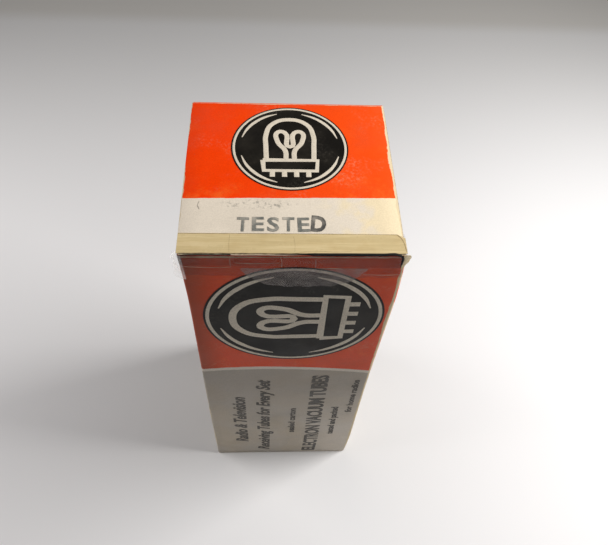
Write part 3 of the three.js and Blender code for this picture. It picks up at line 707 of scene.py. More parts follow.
def getter_film(fade_low, fade_high):
    """The mirror of flashed metal inside the dome, thinning to brown at its rim."""
    finish = Finish("getter_film", 0.12, 1.0)
    z = finish.axes()[2]
    cloud = finish.noise(160, 4, 0.6).between(0.3, 0.7, -2.2, 2.2)
    level = (z + cloud).between(fade_low, fade_high)
    color = finish.mix(level.between(0.3, 1.0), (92, 66, 42), (198, 198, 202))
    finish.give(Alpha=level, Base_Color=color, Roughness=cloud.between(-2.2, 2.2, 0.08, 0.22))
    return finish.material


WALL = wall_print()
LID = lid_print()
FLAP_ORANGE = plain_print("flap_print", ORANGE)
FLAP_CREAM = plain_print("flap_cream", CREAM)
BARE = unprinted(
    "bare_board", 0.85, (168, 152, 126), (186, 170, 142),
    (2600, 0.62, 0.5), (110, 96, 78), (0.88, 1.06), (0.08, 0.6),
)
KRAFT = unprinted(
    "kraft_paper", 0.88, (176, 138, 92), (194, 160, 112),
    (3000, 0.6, 0.45), (124, 92, 58), (0.86, 1.08), (0.09, 0.7),
)
PLIES = (1.0, 3, 0.6, (900, 900, 5000))  # the layers that show in the board's cut edge
EDGE = grainy("cut_edge", (150, 132, 104), (206, 190, 160), PLIES, 0.65, (0.05, 0.6))
BLACK_INK = ink("black_ink", (26, 24, 21), (104, 98, 88), 0.3)
CREAM_INK = ink("bare_lines", (224, 213, 194), (180, 168, 146), 0.5)
GREY_INK = ink("small_type_ink", (92, 88, 82), (180, 170, 156), 0.7)
STAMP = stamp_ink("stamp_ink", (104, 106, 100), 0.8)
DARK_STAMP = stamp_ink("dark_stamp_ink", (58, 58, 55), 0.95)
LID_TAPE = tape_film("tape_on_lid_film", (60, 900, 900), 0.8, (224, 202, 152), (208, 184, 134), 0.25)
FRONT_TAPE = tape_film("tape_on_front_film", (60, 200, 2200), 0.07, (116, 24, 10), (140, 64, 44), 0.55)
CRACK = (300, 300, 900)  # how finely torn film is lined along x, y and z
TORN_TAPE = tape_film("torn_tape_film", CRACK, 0.4, (226, 206, 186), (200, 170, 140), 0.8)
# Loose film with a faint white emission: painted light, to show brighter than its lighting.
LOOSE_TAPE_PAINTED_GLOW = tape_film("loose_tape_painted_glow_film", CRACK, 0.12, (250, 244, 238), (240, 226, 214), 0.3, 0.25)
GHOST_TAPE = tape_film("ghost_tape_film", (500, 500, 900), 0.13, (170, 158, 152), (206, 194, 188), 0.4)
TAPE_EDGE = tape_film("tape_edge_film", CRACK, 0.4, (164, 138, 98), (136, 108, 76), 0.2)
# A white torn edge with a white emission: painted light.
TORN_EDGE_PAINTED_GLOW = tape_film("torn_edge_painted_glow_film", CRACK, 0.9, (255, 252, 248), (250, 244, 236), 0.3, 0.4)
# Near-black beads where the tape stands off the board: painted shadow in the gap.
PAINTED_SHADOW_LINE = grainy("painted_shadow_gap", (12, 10, 9), (24, 18, 14))
GLASS = clear_glass("bulb_glass", (0.97, 0.985, 0.98, 1))
STEM_GLASS = clear_glass("stem_glass", (0.93, 0.96, 0.95, 1))
GETTER = getter_film(BULB_TOP - 17, BULB_TOP - 9)
PHENOLIC = phenolic()
NICKEL = metal("nickel_wire", (206, 202, 194), (150, 138, 120), 0.26)
PIN_METAL = metal("tinned_brass", (204, 196, 174), (140, 128, 100), 0.3, (1, 1, 8))
SOLDER = metal("solder", (196, 196, 194), (150, 150, 148), 0.4)
CARBON = carbon_coat()
MICA = mica_sheet()
OXIDE = grainy("oxide_coating", (238, 236, 230), (204, 200, 192))
CEMENT = grainy("base_cement", (176, 150, 112), (134, 110, 80))

# ---- The shape old board takes ----


def board_lattice():
    """A cage round the carton. Its panels swell, and its sides lean towards the right."""
    nothing_selected()
    bpy.ops.object.add(type="LATTICE", location=mm(0, 0, HEIGHT / 2))
    cage = called("board_cage")
    span = mm(2 * HALF_W + 1, 2 * HALF_D + 1, HEIGHT + 1)
    cage.scale = span
    cage.data.points_u = cage.data.points_v = 7
    cage.data.points_w = 11
    for point in cage.data.points:
        u, v, w = point.co
        swell = math.cos(math.pi * w) * (SWELL + random.uniform(-SWELL_VARIES, SWELL_VARIES))
        free = 1 - abs(2 * w) ** 12
        left = 0.9 * free * max(0.0, 0.3 + 1.4 * w)
        right = free * (0.5 + (1.1 if w > 0 else 0.9) * (2 * w) ** 2)
        lean = left * (0.5 - u) + right * (0.5 + u)
        lid = math.cos(math.pi * u) * math.cos(math.pi * v) * LID_SWELL
        point.co_deform.x += (2 * u * math.cos(math.pi * v) * swell + lean) * MM / span.x
        point.co_deform.y += 2 * v * math.cos(math.pi * u) * swell * MM / span.y
        point.co_deform.z += (2 * w) ** 5 * lid * MM / span.z
    return cage


CAGE = board_lattice()


def settle(piece):
    """Lets a piece of the carton follow the swell of its panels."""
    return modify(piece, "LATTICE", object=CAGE)


# ---- Carton ----


def wall_end(middle, end):
    """How far a wall stops short of the carton's end, above or below, at this place round it."""
    hinge_y = HALF_D if end > 0 else -HALF_D
    if abs(middle.y - hinge_y) < CORNER / 2:
        return FOLD
    if abs(middle.y + hinge_y) < CORNER / 2:
        return HEIGHT - FRONT_TOP if end > 0 else 0.0
    return SIDE_CUT


def carton_walls():
    piece = box_between("carton_walls", (-HALF_W, -HALF_D, 0), (HALF_W, HALF_D, HEIGHT))
    with editing(piece, "FACE"):
        pick("FACE", lambda m: abs(m.z - HEIGHT / 2) > HEIGHT / 2 - NEAR)
        bpy.ops.mesh.delete(type="ONLY_FACE")
        bpy.ops.mesh.select_all(action="SELECT")
        bpy.ops.mesh.subdivide(number_cuts=14)
        pick("EDGE", lambda m: abs(abs(m.x) - HALF_W) < NEAR and abs(abs(m.y) - HALF_D) < NEAR)
        bpy.ops.mesh.bevel(offset=CORNER * MM, segments=4, affect="EDGES")
        for end, level, front_cut in ((1, HEIGHT, HEIGHT - FRONT_TOP), (-1, 0, 0.0)):
            for cut in (FOLD, front_cut, SIDE_CUT):
                pick("VERT", lambda m: abs(m.z - level) < NEAR and wall_end(m, end) == cut)
                bpy.ops.transform.translate(value=mm(0, 0, -end * cut))
    thicken(piece, WALL)
    settle(piece)
    put(piece, "printed_paperboard", WALL, BARE, EDGE, body="carton")
    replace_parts(piece, "carton_sleeve")


def seam_flap():
    """The glued flap inside the back panel."""
    inner = HALF_D - BOARD - 0.1
    corners = (-HALF_W + BOARD, inner - BOARD, 14), (-HALF_W + 12, inner, HEIGHT - 14)
    piece = soften(box_between("seam_flap", *corners), 0.15)
    put(piece, "printed_paperboard", BARE, body="carton")


def fold_strip(name, corner, along, first, second, outer):
    """The creased board round a fold, on no body: its outer corner, half its length as a vector,
    and the directions in which its two panels leave the corner."""
    corner, along, first, second = Vector(corner), Vector(along), Vector(first), Vector(second)
    centre = corner + (first + second) * FOLD
    steps, rows = 8, 6
    angles = [math.pi / 2 * step / steps for step in range(steps + 1)]
    arc = [centre - (second * math.cos(a) + first * math.sin(a)) * FOLD - along for a in angles]
    piece = traced(name, arc)
    with editing(piece, "EDGE"):
        for _ in range(rows):
            bpy.ops.mesh.extrude_edges_move(TRANSFORM_OT_translate={"value": along * (2 / rows) * MM})
    outside = corner - centre
    if sum((face.normal.dot(outside) for face in piece.data.polygons), 0.0) < 0:
        piece.data.flip_normals()
    thicken(piece, outer)
    put(piece, "printed_paperboard", outer, BARE, EDGE, smooth=60)
    (corner + first * FOLD) * MM
    (corner + second * FOLD) * MM
    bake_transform(piece)


def print_panel(piece, outward, body, node, outer):
    """Gives a board's outer face, inner face and cut edges their own materials."""
    for face in piece.data.polygons:
        lean = face.normal.dot(outward)
        face.material_index = 0 if lean > 0.6 else 1 if lean < -0.6 else 2
    put(piece, "printed_paperboard", outer, BARE, EDGE, body=body)
    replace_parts(piece, node)


def lid_board(name, node, body, outward, outer):
    """A lid: a flat panel that stops short of its two folds, with softened, slightly curled edges."""
    low, high = corners_of(node)
    for end in (low, high):
        end.y -= math.copysign(FOLD, end.y)
    if outer is LID:
        low.x -= LID_SHIFT
    piece = settle(soften(box_between(name, low, high, cuts=10), 0.12))
    print_panel(piece, outward, body, node, outer)


def loose_flap(name, node, body, outward, outer):
    """A tuck or dust flap, shaped as the CAD one and stopping short of its fold."""
    piece = copy_of(node, name)
    if "dust" in node:
        bent(piece, lambda x, y, z: (-math.copysign(FOLD, x) if abs(x) > HALF_W - 0.1 else 0, 0, 0))
    print_panel(soften(piece, 0.1), outward, body, node, outer)


carton_walls()
seam_flap()
lid_board("lid_board", "top_lid", "top_lid", UP, LID)
lid_board("bottom_board", "bottom_lid", "bottom_lid", -UP, FLAP_CREAM)
loose_flap("lid_tuck_board", "top_tuck_flap", "top_tuck_flap", -BACK, FLAP_CREAM)
loose_flap("bottom_tuck_board", "bottom_tuck_flap", "bottom_tuck_flap", BACK, FLAP_CREAM)
for end, outward, outer in (("top", UP, FLAP_ORANGE), ("bottom", -UP, FLAP_CREAM)):
    for side in ("left", "right"):
        node = f"{end}_dust_flap_{side}"
        loose_flap(f"{end}_dust_board_{side}", node, node, outward, outer)

for end, level, inward, hinge_y, towards, outer in (
    ("top", HEIGHT, -UP, HALF_D, -BACK, FLAP_ORANGE),
    ("bottom", 0, UP, -HALF_D, BACK, FLAP_CREAM),
):
    hinge = (0, hinge_y, level)
    fold_strip(f"{end}_lid_fold", hinge, (LID_HALF, 0, 0), inward, towards, outer)
    free = (0, math.copysign(LID_FRONT, -hinge_y), level)
    fold_strip(f"{end}_tuck_fold", free, (TUCK_HALF, 0, 0), -towards, inward, FLAP_CREAM)
    low, high = corners_of(f"{end}_dust_flap_left")
    middle, half = (low.y + high.y) / 2, (high.y - low.y) / 2
    crease = high.z if level else low.z
    for side, sign, across in (("left", -1, RIGHT), ("right", 1, -RIGHT)):
        corner = (sign * HALF_W, middle, crease)
        flap = f"{end}_dust_flap_{side}"
        fold_strip(f"{flap}_fold", corner, (0, half, 0), inward, across, outer)

# ---- Print on the walls and the lid ----


def ring_line(name, radius, width):
    """A flat printed ring lying in the XY plane."""
    nothing_selected()
    size = {"major_radius": radius * MM, "minor_radius": width / 2 * MM}
    bpy.ops.mesh.primitive_torus_add(major_segments=96, minor_segments=8, **size)
    return flattened(called(name), 0.04, width)


def disc(name, radius):
    """A flat printed disc in the XY plane, ringed with edges so that it can follow a panel."""
    nothing_selected()
    bpy.ops.mesh.primitive_circle_add(vertices=96, radius=radius * MM, fill_type="NGON")
    piece = called(name)
    with editing(piece, "FACE"):
        for _ in range(5):
            bpy.ops.mesh.inset(thickness=radius / 6 * MM)
    modify(piece, "SOLIDIFY", thickness=0.02 * MM, offset=0)
    return piece


def flattened(piece, thickness, stroke):
    """Presses a round wire in the XY plane down to a printed line."""
    with editing(piece):
        bpy.ops.transform.resize(value=(1, 1, thickness / stroke))
    return piece


def scaled(runs, radius):
    return [[(x * radius, y * radius, 0) for x, y in run] for run in runs]


def tube_picture(name, radius):
    """A plain drawing of a radio tube in the XY plane: bulb, looped filament, base and pins."""
    stroke = radius * 0.085
    bulb = [(0.4, -0.3), (0.41, 0.0), (0.41, 0.28), (0.3, 0.56), (0.0, 0.68)]
    filament = [(0.07, -0.3), (0.08, -0.1), (0.21, 0.12), (0.2, 0.36), (0.08, 0.34), (0.0, 0.0)]
    both = [[(-x, y) for x, y in half[:-1]] + half[::-1] for half in (bulb, filament)]
    curves = wire(name, scaled(both, radius), stroke / 2, sides=3)
    base = [(-0.46, -0.32), (0.46, -0.32), (0.44, -0.56), (-0.44, -0.56), (-0.46, -0.32)]
    pins = [[(x, -0.56), (x, -0.7)] for x in (-0.3, -0.1, 0.1, 0.3)]
    lines = wire(f"{name}_lines", scaled([base, *pins], radius), stroke / 2, kind="POLY", sides=3)
    return flattened(joined(name, curves, lines), 0.05, stroke)


def broken_ring(name, radius):
    """Four arcs that swell towards their middles, in the XY plane."""
    runs, widths = [], [0.25, 0.8, 1.0, 0.8, 0.25]
    for quarter in range(4):
        middle = math.radians(90 * quarter + 45)
        turns = [middle + math.radians(step) for step in (-30, -15, 0, 15, 30)]
        runs.append([(math.cos(turn), math.sin(turn)) for turn in turns])
    stroke = radius * 0.07
    piece = wire(name, scaled(runs, radius), stroke / 2, widths, sides=3)
    return flattened(piece, 0.05, stroke)


def lettering(name, words, height, length, italic=0.0, weight=0.0):
    """Words as a thin mesh in the XY plane, centred on the origin, with capitals of this height."""
    nothing_selected()
    bpy.ops.object.text_add()
    text = bpy.context.object.data
    text.body = words
    text.shear = italic
    text.extrude = 0.01
    text.offset = weight
    text.resolution_u = 3
    bpy.ops.object.convert(target="MESH")
    piece = called(name)
    xs = [v.co.x for v in piece.data.vertices]
    middle = Matrix.Translation((-(max(xs) + min(xs)) / 2, -CAPITAL / 2, 0))
    size = mm(length / (max(xs) - min(xs)), height / CAPITAL, 1)
    piece.data.transform(Matrix.Diagonal((*size, 1)) @ middle)
    return weld(piece)


def laid(piece, right, up, place, lift):
    """Turns a piece from the XY plane onto a panel, lift above its face."""
    right, up = Vector(right), Vector(up)
    facing = right.cross(up)
    turn = Matrix((right, up, facing)).transposed().to_4x4()
    piece.data.transform(Matrix.Translation(mm(*place) + facing * lift * MM) @ turn)
    return piece


def roundel(prefix, radius, right, up, place, body):
    """A black disc with cream rings and a plain drawing of a tube."""
    parts = [
        (disc(f"{prefix}_roundel", radius), PRINT_LIFT, BLACK_INK),
        (ring_line(f"{prefix}_roundel_ring", radius * 0.955, radius * 0.04), LINE_LIFT, CREAM_INK),
        (broken_ring(f"{prefix}_roundel_arcs", radius * 0.85), LINE_LIFT, CREAM_INK),
        (tube_picture(f"{prefix}_picture", radius), LINE_LIFT, CREAM_INK),
    ]
    for piece, lift, material in parts:
        settle(laid(piece, right, up, place, lift))
        put(piece, "printed_paperboard", material, body=body, smooth=60)


SMALL_PRINT = [
    # words, capital height, length, place across the panel, middle up the panel, italic, weight
    ("Radio & Television", 4.3, 44, -15.4, 36, 0.3, 0.028),
    ("Receiving Tubes for Every Set", 4.2, 67, -7.3, 38, 0.3, 0.028),
    ("sealed carton", 2.3, 24, 2.6, 36, 0.0, 0.03),
    ("ELECTRON VACUUM TUBES", 4.8, 72, 10.4, 38.5, 0.0, 0.035),
    ("tested and packed", 2.3, 27, 17.0, 35, 0.0, 0.034),
    ("for home radios", 2.1, 27, 21.8, 57, 0.0, 0.03),
]


def print_side(side, right, depth):
    """The roundel and the upright lines of small type on one wall."""
    surface = right.cross(UP) * depth
    place = surface + UP * SIDE_ROUNDEL_UP + right * SIDE_ROUNDEL_OVER
    roundel(side, SIDE_ROUNDEL, UP, -right, place, "carton")
    for number, (words, height, length, across, level, italic, weight) in enumerate(SMALL_PRINT):
        piece = lettering(f"{side}_type_{number + 1}", words, height, length, italic, weight)
        place = surface + right * across + UP * level
        settle(laid(piece, UP, -right, place, PRINT_LIFT))
        put(piece, "printed_paperboard", GREY_INK, body="carton")


print_side("front", RIGHT, HALF_D)
print_side("right", BACK, HALF_W)
print_side("back", -RIGHT, HALF_D)
print_side("left", -BACK, HALF_W)
roundel("lid", LID_ROUNDEL, RIGHT, BACK, (LID_ROUNDEL_OVER, LID_ROUNDEL_BACK, HEIGHT), "top_lid")

for number, letter in enumerate("TESTED"):
    last = number == 5
    width, weight = (3.4, 0.035) if last else (2.7, 0.024)
    piece = lettering(f"stamp_{number + 1}", letter, 4.3 if last else 3.9, width, weight=weight)
    tilt = math.radians(random.uniform(-2, 2) - (7 if last else 0))
    right, up = (math.cos(tilt), math.sin(tilt), 0), (-math.sin(tilt), math.cos(tilt), 0)
    place = (STAMP_LEFT + STAMP_STEP * number, STAMP_LINE + random.uniform(-0.15, 0.15), HEIGHT)
    settle(laid(piece, right, up, place, PRINT_LIFT))
    put(piece, "printed_paperboard", DARK_STAMP if last else STAMP, body="top_lid")

# ---- Tape ----


def tape_piece(piece, material, body, solid=None, smooth=50, swells=True):
    """Finishes a piece of the tape: its thickness and the side it grows to, its swell and its film."""
    if solid:
        modify(piece, "SOLIDIFY", thickness=solid[0] * MM, offset=solid[1])
    if swells:
        settle(piece)
    return put(piece, "aged_tape", material, body=body, smooth=smooth)


def tape_lid_strip():
    back, front, base = TAPE_BACK + 0.4, -HALF_D + 0.3, HEIGHT + 0.03
    piece = box_between("lid_tape", (-HALF_W, front, base), (HALF_W, back, base + 0.08), cuts=30)

    def waved(x, y, z):
        ripple = 0.04 * math.sin(1.7 * x) * math.sin(0.9 * x + 1)
        forward = max(0.0, 1 - (y - front) / 1.2)
        behind = max(0.0, 1 - (back - y) / 1.2)
        clipped = max(0.0, x - HALF_W + 1.6) * max(0.0, (y - front) / (back - front) - 0.4)
        edges = forward * 0.06 * math.sin(2.3 * x + math.sin(x)) - behind * 0.004 * x
        return 0, edges - clipped, abs(ripple) + 0.02

    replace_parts(tape_piece(bent(piece, waved), LID_TAPE, "top_lid"), "tape_on_lid")


def torn_end():
    """The crumpled left end of the strip: it stands off the corner, and narrows downwards."""
    low, high, rough = 127.4, FRONT_TOP - 0.2, 0.1
    plan = [(-24.6, -25.12), (-25.2, -25.1), (-25.7, -24.8), (-26.2, -24.4), (-26.5, -23.8)]
    piece = swept("torn_left_end", [(x, y, low) for x, y in plan], high - low, 10)

    def crumpled(x, y, z):
        free = max(0.0, abs(x) - HALF_W + 0.4)
        crumple = rough * math.sin(5.1 * z + 2 * y) + rough * 0.6 * math.sin(11.3 * z)
        narrowing = 0.65 * (1 - (z - low) / (high - low))
        return math.copysign(free * (crumple - narrowing), x), free * crumple * 0.5, 0

    # The loose film shines with a faint emission: painted light.
    tape_piece(bent(piece, crumpled), LOOSE_TAPE_PAINTED_GLOW, "carton", (0.05, 0))


def around_front(inset, end_left, end_right, level, steps=6, count=40):
    """Points round the carton's front, from the left side to the right, inset outside its faces."""
    radius, reach = CORNER + inset, HALF_W - CORNER
    points = [(-HALF_W - inset, end_left, level)]
    for side in (-1, 1):
        for step in range(steps + 1):
            angle = math.pi * (1 + step / steps / 2) + (math.pi / 2 if side > 0 else 0)
            x = side * reach + radius * math.cos(angle)
            points.append((x, -HALF_D + CORNER + radius * math.sin(angle), level))
        if side < 0:
            points += [(-reach + 2 * reach * i / count, -HALF_D - inset, level) for i in range(1, count)]
    points.append((HALF_W + inset, end_right, level))
    return points


def front_tape(name, inset, bottom, top, ends, ragged):
    piece = swept(name, around_front(inset, *ends, bottom), top - bottom, 8)

    def waved(x, y, z):
        low = max(0.0, 1 - (z - bottom) / 1.5)
        drop = ragged * (math.sin(1.1 * x) + 0.6 * math.sin(3.7 * x + 1)) + 0.5 * (1 - x / HALF_W)
        out = 0.03 * (1 + math.sin(2.9 * z + 0.4 * x)) if y < -HALF_D + 0.1 else 0
        return 0, -out, low * drop

    facing_front(bent(piece, waved))
    return tape_piece(piece, FRONT_TAPE, "carton", (0.05, 1))


def tape_ear():
    """The crumpled end of the strip, standing out past the right corner."""
    outline = [(24.9, 137.08), (26.0, 136.95), (26.7, 136.2), (26.95, 135.4), (26.7, 134.7), (26.5, 133.9)]
    outline += [(26.1, 133.2), (25.6, 132.3), (25.0, 131.8), (24.95, 134.0), (24.9, 135.5)]
    piece = traced("tape_ear", [(x, -HALF_D - 0.25, z) for x, z in outline])
    with editing(piece, "EDGE"):
        bpy.ops.mesh.edge_face_add()
        for _ in range(2):
            bpy.ops.mesh.inset(thickness=0.18 * MM)
    bent(piece, lambda x, y, z: (0, 0.12 * math.sin(4 * z + 3 * x) + 0.45 * max(0, x - 25.2), 0))
    facing_front(piece)
    tape_piece(piece, LID_TAPE, "carton", (0.06, 0), 60, swells=False)


def tape_ghost():
    """A patch of dried film and glue under the strip, where it once reached further down."""
    low, high, middle, half = 124.6, 132.0, 2.5, 14.5
    front = -HALF_D - 0.12
    corners = (middle - half, front - 0.04, low), (middle + half, front, high)
    piece = box_between("tape_ghost", *corners, cuts=16)

    def rounded(x, y, z):
        share = (high - z) / (high - low)
        return 0, 0, (0.25 * math.sin(1.3 * x) + 6.8 * ((x - middle) / half) ** 4) * share

    tape_piece(bent(piece, rounded), GHOST_TAPE, "carton", smooth=60)


def on_front(points, out=0.0):
    """Points (x, height) on the front wall, out beyond its face."""
    return [(x, -HALF_D - out, z) for x, z in points]


def on_lid(points, lift=0.14):
    return [(x, y, HEIGHT + lift) for x, y in points]


tape_lid_strip()
strip = (TAPE_BOTTOM + 0.4, FRONT_TOP - 0.02, (TAPE_SIDE_END, TAPE_SIDE_END - 1), 0.2)
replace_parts(front_tape("front_tape", 0.02, *strip), "tape_on_front")
second = (132.2, FRONT_TOP - 0.05, (TAPE_SIDE_END - 3, TAPE_SIDE_END - 2), 0.08)
front_tape("front_tape_second_layer", 0.09, *second)

creases = [
    [(-14, 132.4), (-14, 134.6), (-13.8, 136.2)],
    [(-2.6, 132.6), (-2.5, 134.2), (-2.7, 136.2)],
    [(5, 132.2), (5.1, 133.6), (5, 135.4)],
    [(-24.6, 132.6), (-19, 132.3), (-14, 132.5)],
    [(-13, 134.1), (-8, 133.9), (-3, 134.2)],
    [(6, 132.0), (9, 132.1), (11, 131.8)],
    [(16, 129.6), (21, 129.4), (24.8, 129.6)],
]
# The slit under the lid tape's front edge, and its drop by the right end: a painted shadow line.
slit = on_front([(-4, 136.98), (3.0, 136.95), (4.6, 136.9), (12, 136.88), (20, 136.85), (23.6, 136.8)], -0.15)
slit += on_front([(24.5, 136.2), (24.6, 134.6), (24.5, 132.4)], 0.05)
slit_widths = [0.1, 0.35, 0.95, 1, 1, 0.95, 0.85, 0.75, 0.3]
# The split at the left gets the same painted shadow line.
split = [(-24.6, 136.7), (-21, 136.9), (-17, 136.85), (-13.6, 136.95)]
torn = [(-14, 136.9), (-10, 136.7), (-7, 136.85), (-3, 136.8), (1, 136.9)]
jagged = [(-25.7, 137.0), (-26.3, 136.2), (-26.9, 135.2), (-26.5, 134.3), (-26.7, 133.2), (-26.2, 132.3)]
jagged += [(-26.3, 131.4), (-25.8, 130.9), (-25.9, 130.0), (-25.5, 129.4), (-25.6, 128.4), (-25.3, 127.6)]
jagged += [(-25.4, 126.6)]
scratch = [(-21.4, -9.8), (-21.7, -11), (-21.3, -12.1)]
lid_edges = [
    [(-25.4, TAPE_BACK + 0.38), (0, TAPE_BACK + 0.42), (23.8, TAPE_BACK + 0.3)],
    [(23.8, TAPE_BACK + 0.3), (24.8, TAPE_BACK - 1.2), (25.4, -24.2)],
]
lid_marks = [
    [(-14, TAPE_BACK + 0.2), (-14.1, -22), (-14.0, -24.4)],
    [(0.2, TAPE_BACK - 0.4), (0.5, -22), (0.4, -24.3)],
    [(1.5, -24.4), (5, -24.1), (9, -24.3), (13, -24.2)],
]


def bead(name, material, slot, body, radius, runs, widths=None):
    """Thin beads or creases along the runs; the widths go from knot to knot."""
    line = settle(wire(name, runs, radius, widths, sides=1, resolution=4))
    put(line, slot, material, body=body, smooth=60)


for name, material, slot, body, radius, runs, widths in (
    ("tape_creases", TORN_TAPE, "aged_tape", "carton", 0.045, [on_front(run, 0.2) for run in creases], None),
    ("slit_painted_shadow", PAINTED_SHADOW_LINE, "aged_tape", "carton", 0.36, [slit], slit_widths),
    ("split_line", PAINTED_SHADOW_LINE, "aged_tape", "carton", 0.14, [on_front(split)], None),
    ("torn_line", TORN_TAPE, "aged_tape", "carton", 0.12, [on_front(torn, -0.02)], None),
    ("lid_scratch", STAMP, "printed_paperboard", "top_lid", 0.06, [on_lid(scratch, 0.02)], None),
    ("lid_tape_edges", TAPE_EDGE, "aged_tape", "top_lid", 0.07, [on_lid(run) for run in lid_edges], None),
    ("lid_tape_marks", TAPE_EDGE, "aged_tape", "top_lid", 0.035, [on_lid(run) for run in lid_marks], None),
):
    bead(name, material, slot, body, radius, runs, widths)

torn_end()
# The torn edge shines white with its emission: painted light.
bead("torn_left_edge", TORN_EDGE_PAINTED_GLOW, "aged_tape", "carton", 0.1, [[(x, -24.4, z) for x, z in jagged]])
tape_ear()
tape_ghost()

# ---- Liner and tube ----


def finer(node, slot, material, bevel=0.0, smooth=50, body="tube"):
    """Stands for a CAD node: the same shape with clean faces, rounded edges and smooth curves."""
    piece = copy_of(node, f"{node}_shown")
    if bevel:
        soften(piece, bevel)
    put(piece, slot, material, body=body, smooth=smooth)
    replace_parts(piece, node)


def shown(piece, slot, *materials, nodes=(), smooth=40):
    """Puts a tube piece, made with the tube's foot at height 0, in its place."""
    piece.data.transform(Matrix.Translation(mm(0, 0, TUBE_REST)))
    put(piece, slot, *materials, body="tube", smooth=smooth)
    if nodes:
        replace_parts(piece, *nodes)
    return piece


def bulb_profile(inset):
    """The bulb from the neck up to the tip of the dome."""
    points = [(NECK - inset, height) for height in (BULB_FOOT, 33, SHOULDER)]
    for step in range(1, 10):
        share = (step / 10) ** 0.8
        rise = share * share * (3 - 2 * share)
        points.append((NECK + (BULB - NECK) * rise - inset, SHOULDER + step * 1.05))
    points += [(BULB - inset, height) for height in (47.5, 60, 75, 90, DOME)]
    for step in range(1, 17):
        angle = math.pi / 2 * step / 16
        radius = max(0.0, (BULB - inset) * math.cos(angle))
        points.append((radius, DOME + (TUBE_TOP - DOME - inset) * math.sin(angle)))
    return points


def make_bulb():
    """The glass, and the getter's film just inside its dome."""
    outside = turned("glass_bulb_shown", bulb_profile(0), 96)
    inside = turned("bulb_inside", bulb_profile(GLASS_WALL)[::-1], 96)
    rim = turned("bulb_rim", [(NECK - GLASS_WALL, BULB_FOOT), (NECK, BULB_FOOT)], 96)
    bulb = weld(joined("glass_bulb_shown", outside, inside, rim))
    shown(bulb, "clear_glass", GLASS, nodes=["glass_bulb"], smooth=60)
    dome = [point for point in bulb_profile(GLASS_WALL + 0.06) if point[1] > GETTER_FOOT]
    shown(turned("getter_flash", dome, 96), "nickel", GETTER, smooth=60)


def to_pin(number):
    """The move from the tube's axis to one of its eight pin places."""
    angle = math.radians(45 * number - 22.5)
    return Matrix.Translation(mm(PIN_CIRCLE * math.sin(angle), -PIN_CIRCLE * math.cos(angle), 0))


def make_base():
    profile = [(0, 0), (3.0, 0), (3.6, 0.25), (3.95, 0.9), (3.95, 13.2), (4.3, 13.5), (15.2, 13.5)]
    profile += [(15.7, 13.7), (16.0, 14.2), (16.0, 17.5), (16.1, 17.8), (16.5, 18.1), (16.6, 18.5)]
    profile += [(16.6, 35.9), (16.5, 36.3), (16.1, 36.5), (15.6, 36.5), (15.4, 36.3), (15.4, 16)]
    profile += [(2.9, 16), (2.9, 3), (0, 3)]
    body = turned("octal_base_shown", profile, 96)
    key = soften(box_between("base_key", (-0.7, -5.2, 1), (0.7, -3.6, 13.8)), 0.2)
    boss = turned("pin_boss", [(2.3, 13.6), (2.15, 13.1), (1.95, 12.95), (1.3, 12.95), (1.2, 13.2)], 32)
    bosses = [duplicate(boss, f"pin_boss_{pin}", to_pin(pin)) for pin in range(1, 9)]
    bpy.data.objects.remove(boss)
    shown(joined("octal_base_shown", body, key, *bosses), "phenolic", PHENOLIC, nodes=["octal_base"])


def make_pins():
    profile = [(0, 2.3), (0.5, 2.36), (0.85, 2.7), (1.02, 3.2), (1.1, 3.5), (1.18, 4.2), (1.18, 9)]
    pin = turned("base_pin", profile + [(1.18, 14), (1.18, 16.4), (0, 16.4)], 32)
    for face in pin.data.polygons:
        face.material_index = int(face.center.z < SOLDERED * MM)
    for number in (1, 2, 4, 6, 8):
        piece = duplicate(pin, f"base_pin_{number}_shown", to_pin(number))
        shown(piece, "nickel", PIN_METAL, SOLDER, nodes=[f"base_pin_{number}"])
    bpy.data.objects.remove(pin)


def make_electrodes():
    for label, side in (("a", -1), ("b", 1)):
        finer(f"plate_{label}", "carbonised_plate", CARBON, 0.07)
        face = side * 10.0
        beads = []
        for number, height in enumerate((63, 76, 89)):
            low = (min(face, face + side * 0.35), -3.2, height - 0.7)
            high = (max(face, face + side * 0.35), 3.2, height + 0.7)
            beads.append(soften(box_between(f"plate_{label}_bead_{number}", low, high), 0.3, 3))
        shown(joined(f"plate_{label}_beads", *beads), "carbonised_plate", CARBON)
        finer(f"filament_{label}", "oxide_coat", OXIDE, 0.05)
        finer(f"filament_spring_{label}", "nickel", NICKEL, smooth=80)
        for end, y in (("front", -10.8), ("rear", 10.8)):
            profile = [(0, 50), (0.6, 50.05), (0.75, 50.3), (0.75, 70), (0.75, 90), (0.75, 100.2)]
            profile += [(0.6, 100.45), (0, 100.5)]
            rod = turned(f"plate_rod_{label}_{end}_shown", profile, 24, (side * 6.8, y))
            shown(rod, "nickel", NICKEL, nodes=[f"plate_rod_{label}_{end}"])


def make_getter():
    profile = [(3.3, 107.1), (3.4, 107), (5.0, 107), (5.1, 107.1), (5.1, 108), (5.02, 108.1)]
    profile += [(4.85, 108.1), (4.8, 108), (4.8, 107.3), (3.6, 107.3), (3.6, 108), (3.5, 108.1)]
    profile += [(3.35, 108.1), (3.3, 108), (3.3, 107.1)]
    shown(turned("getter_ring_shown", profile, 64), "nickel", NICKEL, nodes=["getter_ring"])
    finer("getter_support", "nickel", NICKEL, smooth=80)


